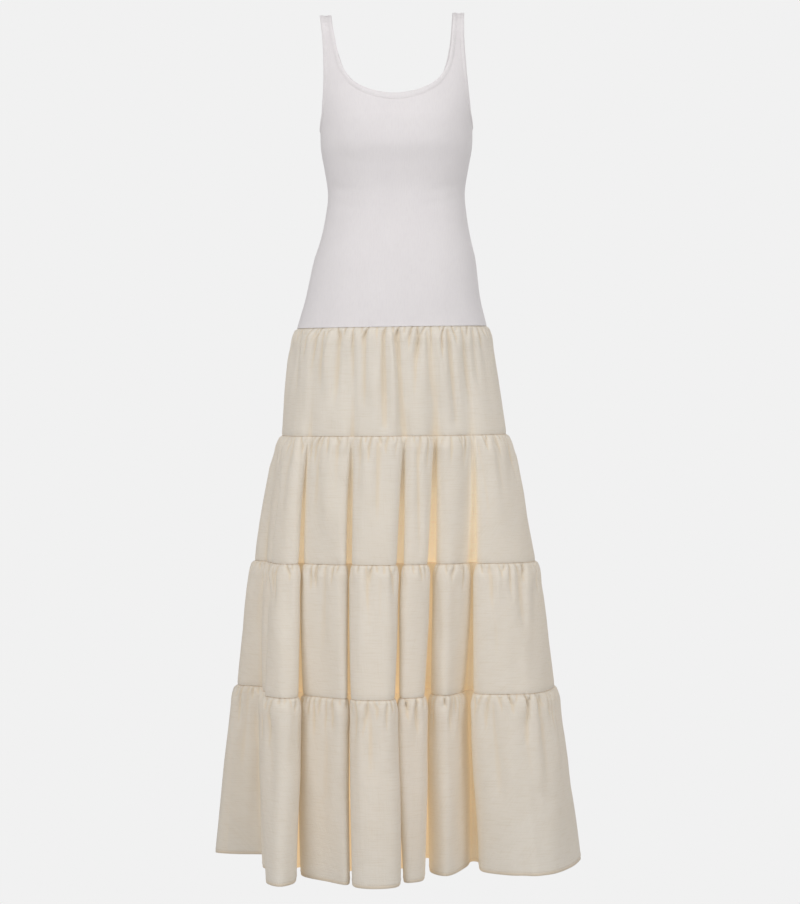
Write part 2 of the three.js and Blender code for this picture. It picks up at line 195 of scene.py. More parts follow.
def smoothstep(value):
    value = np.clip(value, 0, 1)
    return value * value * (3 - 2 * value)


def signed_power(value, power):
    return np.sign(value) * np.abs(value) ** power


def unit(vectors):
    return vectors / np.linalg.norm(vectors, axis=-1, keepdims=True)


def bell(distance, width):
    return np.exp(-((distance / width) ** 2))


def steps_round(ring):
    """Distances from each point of a closed ring to the next."""
    return np.linalg.norm(np.roll(ring, -1, axis=0) - ring, axis=-1)


def so_far(steps):
    """Distance from the first point to each one, from the distances between them."""
    start = np.zeros((*steps.shape[:-1], 1))
    return np.concatenate([start, np.cumsum(steps, axis=-1)], axis=-1)


def row_at(source, down, smooth=False):
    """A table's rows at the given heights, straight or on a smooth curve through the rows."""
    down = np.asarray(down, float)
    heights = source["down"]
    last = len(heights) - 2
    i = np.clip(np.searchsorted(heights, down, side="right") - 1, 0, last)
    before = np.maximum(i - 1, 0)
    after = np.minimum(i + 2, last + 1)
    span = heights[i + 1] - heights[i]
    t = np.clip((down - heights[i]) / span, 0, 1)
    found = {"down": down}
    for name, values in source.items():
        if name == "down":
            continue
        a, b = values[i], values[i + 1]
        if not smooth:
            found[name] = a + (b - a) * t
            continue
        slope_a = (b - values[before]) / (heights[i + 1] - heights[before]) * span
        slope_b = (values[after] - a) / (heights[after] - heights[i]) * span
        found[name] = (
            a * (2 * t**3 - 3 * t**2 + 1)
            + slope_a * (t**3 - 2 * t**2 + t)
            + b * (3 * t**2 - 2 * t**3)
            + slope_b * (t**3 - t**2)
        )
    return found


def centripetal(points, places, closed):
    """Points of a centripetal Catmull-Rom curve at the given places, counted in its own points."""
    count = len(points)
    places = np.asarray(places, float)
    i = np.floor(places).astype(int)
    if not closed:
        i = np.clip(i, 0, count - 2)
    t = (places - i)[:, None]
    if closed:
        p0, p1, p2, p3 = (points[(i + step) % count] for step in (-1, 0, 1, 2))
    else:
        padded = np.vstack([2 * points[0] - points[1], points, 2 * points[-1] - points[-2]])
        p0, p1, p2, p3 = (padded[i + step] for step in (0, 1, 2, 3))
    steps = ((p0, p1), (p1, p2), (p2, p3))
    d0, d1, d2 = (np.linalg.norm(b - a, axis=1, keepdims=True) ** 0.5 for a, b in steps)
    slope1 = ((p1 - p0) / d0 - (p2 - p0) / (d0 + d1) + (p2 - p1) / d1) * d1
    slope2 = ((p2 - p1) / d1 - (p3 - p1) / (d1 + d2) + (p3 - p2) / d2) * d1
    return (
        p1
        + slope1 * t
        + (3 * (p2 - p1) - 2 * slope1 - slope2) * t**2
        + (2 * (p1 - p2) + slope1 + slope2) * t**3
    )


def hang(points):
    """Moves points of the upright, even form to where the dress hangs."""
    at = row_at(HANG, -points[..., 2], smooth=True)
    moved = points.copy()
    moved[..., 0] += at["shift"]
    moved[..., 2] += at["roll"] * points[..., 0] + at["pitch"] * points[..., 1]
    return moved


# A place on the body is an angle from the centre line, 90 at the side seam, and a run of cloth down
def run_at(down):
    on_arch = SHOULDER_RADIUS * np.arccos(1 - np.minimum(down, SHOULDER_RADIUS) / SHOULDER_RADIUS)
    return np.where(down < SHOULDER_RADIUS, on_arch, ARCH_RUN + down - SHOULDER_RADIUS)


def body_point(side, angle, run):
    turn = np.clip(run / SHOULDER_RADIUS, -math.pi / 2, math.pi / 2)
    down = SHOULDER_RADIUS * (1 - np.cos(turn)) + np.maximum(run - ARCH_RUN, 0)
    section = row_at(BODY, down, smooth=True)
    depth = section["front" if side < 0 else "back"] * np.sin(turn)
    x = section["half"] * signed_power(np.sin(np.radians(angle)), 2 / ROUNDNESS)
    y = side * depth * signed_power(np.cos(np.radians(angle)), 2 / ROUNDNESS)
    return np.stack([x, y, -down], axis=-1)


def body_slopes(side, angle, run, step=0.5):
    across = (body_point(side, angle + step, run) - body_point(side, angle - step, run)) / (2 * step)
    along = (body_point(side, angle, run + step) - body_point(side, angle, run - step)) / (2 * step)
    return across, along


def body_normal(side, angle, run):
    across, along = body_slopes(side, angle, run)
    return unit(np.cross(across, along) * side)


def step_in(side, place, direction, distance):
    """The places a distance in from an edge, square to the edge's direction on the cloth."""
    across, along = body_slopes(side, *place)
    aa, ab, bb = ((a * b).sum(axis=-1) for a, b in ((across, across), (across, along), (along, along)))
    angle = ab * direction[0] + bb * direction[1]
    run = -(aa * direction[0] + ab * direction[1])
    size = np.sqrt(aa * angle**2 + 2 * ab * angle * run + bb * run**2)
    return place[0] + angle / size * distance, place[1] + run / size * distance


def edge_stations(face, edge, band, start_angle, count):
    """Along a neckline or armhole: a function for the places a distance in from it, and the band's widths."""
    side = SIDES[face]
    half = row_at(BODY, edge["down"], smooth=True)["half"]
    angles = np.degrees(np.arcsin(np.clip((edge["x"] / half) ** (ROUNDNESS / 2), 0, 1)))
    points = np.stack([angles, run_at(edge["down"])], axis=1)
    before = [2 * start_angle - points[1, 0], points[1, 1]]
    beyond = [points[-2, 0], -points[-2, 1]]
    points = np.vstack([before, points, beyond])
    places = np.linspace(1, len(points) - 2, count + 1)
    at = centripetal(points, places, closed=False)
    step = 0.01
    ahead = centripetal(points, places + step, closed=False)
    ahead -= centripetal(points, places - step, closed=False)
    inward = 1 if start_angle == 0 else -1
    direction = (ahead[:, 0] * inward, ahead[:, 1] * inward)
    share = np.linspace(0, 1, count + 1)
    width = band["low"] + (band["strap"] - band["low"]) * np.minimum(share * 2, 1)

    def inset(distance):
        return step_in(side, (at[:, 0], at[:, 1]), direction, -distance)

    return inset, width


# Bodice panels
BODY_ROWS = 84
EDGE_ROWS = 76
HALF_COLUMNS = 44
NECK_TUCK = 5  # how far the cloth runs on behind the neck binding
ARM_TUCK = 3
TUCK_PRESS = 0.5  # how much lower it lies there
FIRST_STATION = 3  # of an edge, past those where both edges run level

# Soft creases of the jersey, from one end to the other: distance across, distance down, depth and width
LINE_COLUMNS = "x1 down1 x2 down2 depth width"
LINE_BEND = 0.05  # how far a crease bows, as a share of its length
JERSEY_CREASES = {
    "front": table(LINE_COLUMNS, [
        (104, 236, 66, 262, -0.5, 10), (-104, 238, -60, 268, -0.5, 10), (112, 300, 52, 318, -0.9, 7),
        (-112, 296, -66, 310, -1, 7), (108, 322, 30, 346, -0.7, 8), (-110, 326, -40, 338, -0.6, 9),
        (-96, 500, -70, 420, 0.7, 12), (88, 505, 64, 430, 0.7, 12), (-30, 528, -24, 470, 0.5, 8),
        (36, 528, 42, 478, 0.5, 8),
    ]),
    "back": table(LINE_COLUMNS, [
        (104, 226, 60, 256, -0.7, 10), (-104, 224, -66, 252, -0.7, 10), (108, 290, 20, 306, -1.3, 7),
        (-108, 296, -10, 300, -1.2, 7), (104, 312, 40, 326, -0.9, 7), (-104, 318, -34, 322, -0.9, 8),
        (96, 334, 30, 344, -0.6, 8), (-98, 338, -44, 348, -0.6, 8), (-80, 515, -66, 430, 0.7, 12),
        (84, 510, 60, 440, 0.7, 12),
    ]),
}


def crease_field(creases, x, down):
    """Height of all soft creases of one table at the given places: each fades along and across."""
    height = np.zeros_like(x)
    for x1, down1, x2, down2, depth, width in zip(*creases.values()):
        length = math.hypot(x2 - x1, down2 - down1)
        along = ((x - x1) * (x2 - x1) + (down - down1) * (down2 - down1)) / length**2
        off = ((x - x1) * (down2 - down1) - (down - down1) * (x2 - x1)) / length
        bend = LINE_BEND * length * np.sin(math.pi * np.clip(along, 0, 1))
        fade = smoothstep((along + 0.15) / 0.4) * smoothstep((1.2 - along) / 0.6)
        height += depth * fade * bell(off + bend, width)
    return height


def bodice_panel(face):
    """One bodice panel as points, quads and cloth coordinates, from the hip seam up to the shoulder line."""
    side = SIDES[face]
    neck, neck_width = edge_stations(face, NECKLINE[face], NECK_BAND, 0, EDGE_ROWS)
    arm, arm_width = edge_stations(face, ARMHOLE[face], ARM_BAND, 90, EDGE_ROWS)
    kept = np.r_[0, FIRST_STATION : EDGE_ROWS + 1]
    neck_edge = [values[kept] for values in neck(neck_width - NECK_TUCK)]
    arm_edge = [values[kept] for values in arm(arm_width - ARM_TUCK)]
    hip = float(run_at(SKIRT["down"][0] - SEAM_GAP / 2))
    up = np.linspace(0, 1, BODY_ROWS, endpoint=False)
    inner_angle = np.concatenate([0 * up, neck_edge[0]])
    inner_run = np.concatenate([hip + (neck_edge[1][0] - hip) * up, neck_edge[1]])
    outer_angle = np.concatenate([90 + 0 * up, arm_edge[0]])
    outer_run = np.concatenate([hip + (arm_edge[1][0] - hip) * up, arm_edge[1]])
    t = np.linspace(0, 1, HALF_COLUMNS + 1)[None, :]
    angle = inner_angle[:, None] * (1 - t) + outer_angle[:, None] * t
    # Rows leave the armhole level, so that none crosses its curve
    run = inner_run[:, None] * (1 - t) ** 2 + outer_run[:, None] * (1 - (1 - t) ** 2)
    point = body_point(side, angle, run)
    normal = body_normal(side, angle, run)
    # The jersey under a binding is pressed flat inside it
    tucked = np.zeros_like(angle)
    tucked[BODY_ROWS:, :2] = -TUCK_PRESS
    tucked[BODY_ROWS:, -2:] = -TUCK_PRESS
    across = so_far(np.linalg.norm(np.diff(point, axis=1), axis=-1)) + np.abs(point[:, :1, 0])
    halves = []
    for mirror in (1, -1):
        x = mirror * point[..., 0]
        height = crease_field(JERSEY_CREASES[face], x, -point[..., 2]) + tucked
        turned = point + normal * height[..., None]
        turned[..., 1] = side * np.maximum(side * turned[..., 1], 0)
        turned[..., 0] *= mirror
        halves.append((turned, np.stack([mirror * across, run], axis=-1)))
    rows, width = angle.shape
    index = np.arange(rows * width).reshape(rows, width)
    right = index.copy()
    left = index + rows * width
    left[: BODY_ROWS + 1, 0] = right[: BODY_ROWS + 1, 0]
    points = np.concatenate([halves[0][0].reshape(-1, 3), halves[1][0].reshape(-1, 3)])
    cloth = np.concatenate([halves[0][1].reshape(-1, 2), halves[1][1].reshape(-1, 2)])
    quads = np.concatenate([grid_quads(right, side > 0), grid_quads(left, side < 0)])
    return points, quads, cloth


def grid_quads(index, flip=False):
    """Quads between the rows of a grid of point numbers."""
    quads = np.stack([index[:-1, :-1], index[:-1, 1:], index[1:, 1:], index[1:, :-1]], axis=-1).reshape(-1, 4)
    return quads[:, ::-1] if flip else quads


# A binding is a folded band with a rounded section, and has a line of stitches near its seam
BINDING_ROUND = 20
BINDING_STATIONS = 90
BINDING_SQUARE = 0.55  # below 1 the section is fuller than an oval
BINDING_SEED = 10
PUCKER = 0.16
PUCKER_AWAY = 0.35  # share of the puckers on the half away from the seam
PUCKER_WAVES = ((4.1, 0.5), (6.7, 0.7), (11.3, 0.5), (31, 0.6))  # length and share of each
SEAM_DIP = {"depth": 0.35, "at": 0.72, "width": 0.12}
STITCH = {"length": 2.0, "pitch": 2.9, "radius": 0.22, "in_from_seam": 1.7, "proud": 0.12}


def band_loop(parts):
    """Points of the middle, the way across and the normal round a whole binding, joined from its parts."""
    middle, across, normal, width = [], [], [], []
    for face, edge, band, start_angle, mirror, reverse in parts:
        inset, widths = edge_stations(face, edge[face], band, start_angle, BINDING_STATIONS)
        side = SIDES[face]
        at = inset(widths / 2)
        centre = body_point(side, *at)
        up = body_normal(side, *at)
        over = body_point(side, *inset(widths * 0.75)) - body_point(side, *inset(widths * 0.25))
        over = unit(over - up * (over * up).sum(axis=-1, keepdims=True))
        turned = np.array([mirror, 1, 1])
        order = slice(None, None, -1) if reverse else slice(None)
        middle.append((centre * turned)[order][:-1])
        across.append((over * turned)[order][:-1])
        normal.append((up * turned)[order][:-1])
        width.append(widths[order][:-1])
    return (np.concatenate(part) for part in (middle, across, normal, width))


def binding(parts, seed):
    """A closed binding as points, quads and cloth coordinates, with the path that its stitches follow."""
    middle, across, normal, width = band_loop(parts)
    step = steps_round(middle)
    along = so_far(step)[:-1]
    rng = np.random.default_rng(seed)
    waves = sum(
        np.sin(2 * math.pi * round(along[-1] / pitch) * along / along[-1] + rng.uniform(0, 6.3)) * share
        for pitch, share in PUCKER_WAVES
    )
    turn = np.linspace(0, 2 * math.pi, BINDING_ROUND, endpoint=False)
    wide = signed_power(np.cos(turn), BINDING_SQUARE)
    high = signed_power(np.sin(turn), BINDING_SQUARE)
    top = BINDING_PROUD + BINDING_CROWN * (1 - wide**2)
    low = BINDING_PROUD - BINDING_WALL
    # The seam side of the band dips under the pull of its stitches
    dip = -SEAM_DIP["depth"] * bell(wide - SEAM_DIP["at"], SEAM_DIP["width"]) * (high > 0)
    rise = np.where(high > 0, top * high + dip, -low * high)
    puckered = (high > 0) * np.where(wide > 0, 1, PUCKER_AWAY)
    height = rise[None, :] + PUCKER * waves[:, None] * puckered[None, :]
    reach = 0.5 * width[:, None] * wide[None, :]
    points = middle[:, None, :] + across[:, None, :] * reach[..., None]
    points = points + normal[:, None, :] * height[..., None]
    cloth = np.stack([np.broadcast_to(along[:, None], height.shape), reach + width[:, None]], axis=-1)
    # The band's two ends meet where it starts, each with its own cloth coordinates
    points = np.concatenate([points, points[:1]])
    cloth = np.concatenate([cloth, cloth[:1] + [step.sum(), 0]])
    index = np.arange(points[..., 0].size).reshape(points.shape[:2])
    index = np.hstack([index, index[:, :1]])
    seam = 0.5 * width - STITCH["in_from_seam"]
    stitch_path = middle + across * seam[:, None] + normal * (BINDING_PROUD + STITCH["proud"])
    return points.reshape(-1, 3), grid_quads(index), cloth.reshape(-1, 2), stitch_path, normal


# Rings of points along one stitch: share of its length, and size and lift as shares of its radius
STITCH_RINGS = ((0, 0.35, -0.5), (0.2, 1, 0.3), (0.5, 1.1, 0.6), (0.8, 1, 0.3), (1, 0.35, -0.5))
STITCH_CORNERS = np.arange(6) * math.pi / 3


def stitch_rows(path, normal, stitch):
    """Small raised stitches along a closed path, as points and quads."""
    length = so_far(steps_round(path))
    count = int(length[-1] / stitch["pitch"])
    starts = np.arange(count) * length[-1] / count

    def at(distance, values):
        wrapped = np.vstack([values, values[:1]])
        return np.stack([np.interp(distance % length[-1], length, column) for column in wrapped.T], axis=1)

    ends = at(starts, path), at(starts + stitch["length"], path)
    up = unit(at(starts + stitch["length"] / 2, normal))
    along = unit(ends[1] - ends[0])
    out = np.cross(along, up)
    radius = stitch["radius"]
    rings = []
    for share, size, lift in STITCH_RINGS:
        centre = ends[0] * (1 - share) + ends[1] * share + up * radius * lift
        corners = [centre + (out * math.cos(a) + up * math.sin(a)) * radius * size for a in STITCH_CORNERS]
        rings.append(np.stack(corners, axis=1))
    points = np.stack(rings, axis=1)
    index = np.arange(points[..., 0].size).reshape(points.shape[:3])
    index = np.concatenate([index, index[:, :, :1]], axis=2)
    sides = [index[:, :-1, :-1], index[:, 1:, :-1], index[:, 1:, 1:], index[:, :-1, 1:]]
    quads = np.concatenate([
        np.stack(sides, axis=-1).reshape(-1, 4),
        index[:, 0, [0, 1, 2, 3]],
        index[:, 0, [0, 3, 4, 5]],
        index[:, -1, [3, 2, 1, 0]],
        index[:, -1, [5, 4, 3, 0]],
    ])
    return points.reshape(-1, 3), quads


# Skirt
def fold_path():
    """The hem seen from above, as the points of a closed curve, with y to the front as a negative number."""
    starts, crests, ends, valleys = [], [], [], []
    for face, folds in FOLDS.items():
        for found, name in ((starts, "start"), (crests, "crest"), (ends, "end"), (valleys, "valley")):
            found.append(np.stack([folds[name + "_x"], SIDES[face] * folds[name + "_out"]], axis=1))
    start, crest, end, valley = (np.vstack(found) for found in (starts, crests, ends, valleys))
    floor = unit(unit(np.roll(start, -1, axis=0) - valley) + unit(valley - end)) * VALLEY_FLOOR / 2
    return np.stack([start, crest, end, valley - floor, valley + floor], axis=1).reshape(-1, 2)


FOLD_PATH = fold_path()


def oval_shares():
    """Share of the oval's front and back half that lies before each of the path's points."""
    step = np.roll(FOLD_PATH, -1, axis=0) - FOLD_PATH
    length = np.hypot(step[:, 0], FLANK_SHARE * step[:, 1])
    shares = {}
    for face, part in (("front", length[:FRONT_POINTS]), ("back", length[FRONT_POINTS:])):
        total = so_far(part)
        shares[face] = total / total[-1]
    return shares


OVAL_SHARES = oval_shares()


def oval_depth(section_depth, half, x):
    across = np.clip(np.abs(x) / half, 0, 1)
    return section_depth * (1 - across**ROUNDNESS) ** (1 / ROUNDNESS)


def shallow_valleys():
    """For each fold, 1 where the valley after it is too shallow to count as one."""
    corners = FOLD_PATH.reshape(-1, FOLD_POINTS, 2)
    rim = (np.abs(corners[:, 2, 1]) + np.abs(np.roll(corners[:, 0, 1], -1))) / 2
    floor = np.abs(corners[:, 3:, 1]).mean(axis=1)
    return (rim - floor < SHALLOW).astype(float)


SHALLOW_VALLEYS = shallow_valleys()


def skirt_columns(places):
    """What each height needs to place the given places of the fold path."""
    point = centripetal(FOLD_PATH, places, closed=True)
    front = places < FRONT_POINTS
    share = np.where(
        front,
        np.interp(places, np.arange(FRONT_POINTS + 1), OVAL_SHARES["front"]),
        np.interp(places - FRONT_POINTS, np.arange(BACK_POINTS + 1), OVAL_SHARES["back"]),
    )
    x = np.clip(point[:, 0], -HEM["half"], HEM["half"])
    at = places % FOLD_POINTS
    weights = {name: np.interp(at, FOLD_WEIGHTS["at"], values) for name, values in FOLD_WEIGHTS.items()}
    fold = (places // FOLD_POINTS).astype(int)
    plain = SHALLOW_VALLEYS[fold] * (at > 1)
    before = SHALLOW_VALLEYS[fold - 1] * (at <= 1)
    return {
        "front": front,
        "side": np.where(front, -1, 1),
        "x": x,
        "out": np.abs(point[:, 1]),
        "angle": np.where(front, 1, -1) * (180 * share - 90),
        "hem_depth": oval_depth(np.where(front, HEM["front"], HEM["back"]), HEM["half"], x),
        "valley_number": np.where(at <= 1, fold - 1, fold) % len(SHALLOW_VALLEYS),
        "swell": np.maximum(weights["swell"], plain),
        "gather": np.maximum(weights["gather"], np.maximum(plain, before)),
        "flank": weights["flank"] * (1 - plain) * (1 - before),
    }


def section_at(down):
    """Size of the oval at each height, on the body above the hip seam and on the skirt below it."""
    skirt = row_at(SKIRT, down)
    body = row_at(BODY, down, smooth=True)
    above = np.asarray(down) < SKIRT["down"][0]
    return {name: np.where(above, body.get(name, 0), values) for name, values in skirt.items()}


SIDE_DEPTH = 40  # oval depth under which the sides keep the hem's own shape

# How far the cloth's own stiffness rounds the folds, at each seam
ROUNDING = table("down radius", [(537, 11), (721, 9), (937, 5.5), (1151, 4.5), (1440, 4)])

# Where the front folds of the upper tiers hang aside from the hem's: distance across, and how far aside
FOLD_DRIFT = table("x aside", [
    (-313, 0), (-224, 0), (-212, -6), (-192, 2), (-160, 7), (-73, 0), (7, -9), (14, -8), (50, -1),
    (57, -1), (130, -13), (220, -6), (313, 0),
])


def skirt_rings(columns, downs):
    """Rings of points round the skirt, one for each height, before the swell and the gathers."""
    section = {name: values[:, None] for name, values in section_at(downs).items()}
    narrowing = section["half"] / HEM["half"]
    across = np.abs(columns["x"]) / HEM["half"]
    crowded = (1 + across**SIDE_CROWDING * (narrowing**-SIDE_CROWDING - 1)) ** (-1 / SIDE_CROWDING)
    on_oval = section["half"] * signed_power(np.sin(np.radians(columns["angle"])), 2 / ROUNDNESS)
    fold = section["fold"]
    settle = smoothstep((HEM["down"] - section["down"]) / (HEM["down"] - SKIRT["down"][3]))
    aside = np.interp(columns["x"], FOLD_DRIFT["x"], FOLD_DRIFT["aside"]) * columns["front"] * settle
    x = on_oval + ((columns["x"] + aside) * crowded - on_oval) * np.sqrt(fold)
    depth = np.where(columns["front"], section["front"], section["back"])
    hem_depth = np.where(columns["front"], HEM["front"], HEM["back"])
    oval = oval_depth(depth, section["half"], x)
    ratio = oval / np.maximum(columns["hem_depth"], 1)
    at_side = 1 - smoothstep(columns["hem_depth"] / SIDE_DEPTH)
    ratio = ratio + (depth / hem_depth - ratio) * at_side
    out = oval * (1 - fold) + columns["out"] * ratio * fold
    return np.stack([x, columns["side"] * out, np.broadcast_to(-section["down"], x.shape)], axis=-1)


def rounded(rings, downs):
    """Rings whose corners are rounded by the stiffness of the cloth, with their sides kept in place."""
    radius = row_at(ROUNDING, downs)["radius"]
    result = rings.copy()
    for row, (ring, sigma) in enumerate(zip(rings, radius)):
        along = so_far(steps_round(ring))
        total = along[-1]
        even = np.linspace(0, total, int(total), endpoint=False)
        closed = np.vstack([ring, ring[:1]])
        sampled = [np.interp(even, along, closed[:, axis]) for axis in (0, 1)]
        reach = int(3 * sigma) + 1
        kernel = np.exp(-0.5 * (np.arange(-reach, reach + 1) / sigma) ** 2)
        kernel /= kernel.sum()
        for axis, values in enumerate(sampled):
            wrapped = np.concatenate([values[-reach:], values, values[:reach]])
            smooth = np.convolve(wrapped, kernel, mode="valid")
            result[row, :, axis] = np.interp(along[:-1], even, smooth, period=total)
    return result


def ring_outward(rings, reach=2):
    """Level outward direction at each point of closed rings."""
    along = unit(np.roll(rings, -reach, axis=1) - np.roll(rings, reach, axis=1))
    outward = np.stack([along[..., 1], -along[..., 0], np.zeros_like(along[..., 0])], axis=-1)
    return unit(outward)


FINE_PLACES = 24  # places looked at for each of the path's points
EVEN_OVER = 60  # the spacing is even for two heights this far apart, on average


def even_places(middle_down, spacing):
    """Places along the fold path that are evenly spaced at one height of a tier, front and back."""
    found = []
    for first, last in ((0, FRONT_POINTS), (FRONT_POINTS, FRONT_POINTS + BACK_POINTS)):
        fine = np.linspace(first, last, FINE_PLACES * (last - first), endpoint=False)
        ring = skirt_rings(skirt_columns(fine), np.array([middle_down, middle_down + EVEN_OVER]))
        length = so_far(np.linalg.norm(np.diff(ring, axis=1), axis=-1).mean(axis=0))
        count = int(length[-1] / spacing)
        found.append(np.interp(np.linspace(0, length[-1], count, endpoint=False), length, fine))
    return found


# Height of the mesh's rows: they grow from the first to the largest, and shrink to the last at the edge
ROW_STEP = {"first": 1.1, "growth": 0.1, "largest": 5, "last": 1.2, "shrink": 0.3, "least": 0.8}


def tier_heights(height):
    """Distances below a tier's seam for its rows, closer together near the seam and the lower edge."""
    rows = [0.0]
    while rows[-1] < height - ROW_STEP["least"]:
        below = rows[-1]
        grown = ROW_STEP["first"] + ROW_STEP["growth"] * below
        shrunk = ROW_STEP["last"] + ROW_STEP["shrink"] * (height - below)
        rows.append(below + min(grown, ROW_STEP["largest"], shrunk))
    rows[-1] = height
    return np.array(rows)


# Gathers are short sharp creases that start at a seam, some of which lean together and run into one
GATHER_STEP = (5.5, 15)
GATHER_DEPTH = (3.0, 7.0)
GATHER_LENGTH = (14, 105)
GATHER_WIDTH = (1.3, 2.3)
GATHER_SPREAD = (0.05, 0.1)  # how much wider a crease gets for each millimetre down
GATHER_SHARE = (1, 1.1, 1.35, 1.4)  # depth of the gathers in each tier
GATHER_LEAN = 0.14
GATHER_WANDER = 0.05
SHORT_GATHER = {"depth": 0.6, "under": 50}  # share of the depth that the shortest have
PAIR_LEAN = 0.3
PAIR_CHANCE = 0.28
PAIR_RUN = 18  # how far down a lean goes on
GATHER_RISE = 5
GATHER_START = 0.4  # share of a crease's depth that it has at the seam itself
PUFF = 2.6
PUFF_LENGTH = 28

# Soft folds further down, which the gathers run into
DRIFT_STEP = (24, 50)
DRIFT_DEPTH = (1.8, 4.2)
DRIFT_WIDTH = (9, 16)
DRIFT_TOP = (4, 45)
DRIFT_LENGTH = (0.35, 1.1)  # as a share of the tier's height
DRIFT_TROUGHS = 0.62  # share of them that are troughs, the rest being ridges
DRIFT_WANDER = 0.05
DRIFT_SWAY = {"size": 3, "length": (40, 90)}


def gather_field(rng, along, below):
    """Height of the gathers below one seam, from the distance along the seam and the distance below it."""
    field = np.zeros((len(below), len(along)))
    v = below[:, None]
    s = along[None, :]
    at = rng.uniform(0, GATHER_STEP[0])
    paired = False
    while at < along.max():
        reach = GATHER_LENGTH[0] * (GATHER_LENGTH[1] / GATHER_LENGTH[0]) ** rng.uniform(0, 1) ** 1.25
        least = SHORT_GATHER["depth"]
        depth = rng.uniform(*GATHER_DEPTH) * (least + (1 - least) * min(reach / SHORT_GATHER["under"], 1))
        spread = rng.uniform(*GATHER_WIDTH) + rng.uniform(*GATHER_SPREAD) * v
        lean = -PAIR_LEAN if paired else rng.normal(0, GATHER_LEAN)
        paired = not paired and rng.uniform() < PAIR_CHANCE
        if paired:
            lean = PAIR_LEAN
        centre = at + lean * np.minimum(v, PAIR_RUN) + rng.normal(0, GATHER_WANDER) * v
        start = GATHER_START + (1 - GATHER_START) * smoothstep(v / GATHER_RISE)
        fade = start * (1 - smoothstep((v - 0.2 * reach) / (0.8 * reach)))
        field -= depth * fade * np.exp(-(np.abs((s - centre) / spread) ** 1.4))
        at += rng.uniform(*GATHER_STEP)
    return field + PUFF * smoothstep(v / GATHER_RISE) * np.exp(-v / PUFF_LENGTH)


def drift_field(rng, along, below, height):
    """Soft uneven folds that run down a tier between its main creases."""
    length = along.max()
    field = np.zeros((len(below), len(along)))
    v = below[:, None]
    s = along[None, :]
    at = rng.uniform(0, DRIFT_STEP[1])
    while at < length:
        top = rng.uniform(*DRIFT_TOP)
        end = top + rng.uniform(*DRIFT_LENGTH) * height
        depth = rng.uniform(*DRIFT_DEPTH) * rng.choice([-1, 1], p=[DRIFT_TROUGHS, 1 - DRIFT_TROUGHS])
        width = rng.uniform(*DRIFT_WIDTH)
        centre = at + rng.normal(0, DRIFT_WANDER) * v
        sway = np.sin(v / rng.uniform(*DRIFT_SWAY["length"]) + rng.uniform(0, 6))
        fade = smoothstep((v - top + 20) / 40) * (1 - smoothstep((v - end * 0.5) / (end * 0.5)))
        off = s - (centre + DRIFT_SWAY["size"] * sway)
        field += depth * fade * bell(off, width * (0.6 + 0.9 * v / height))
        at += rng.uniform(*DRIFT_STEP)
    return field


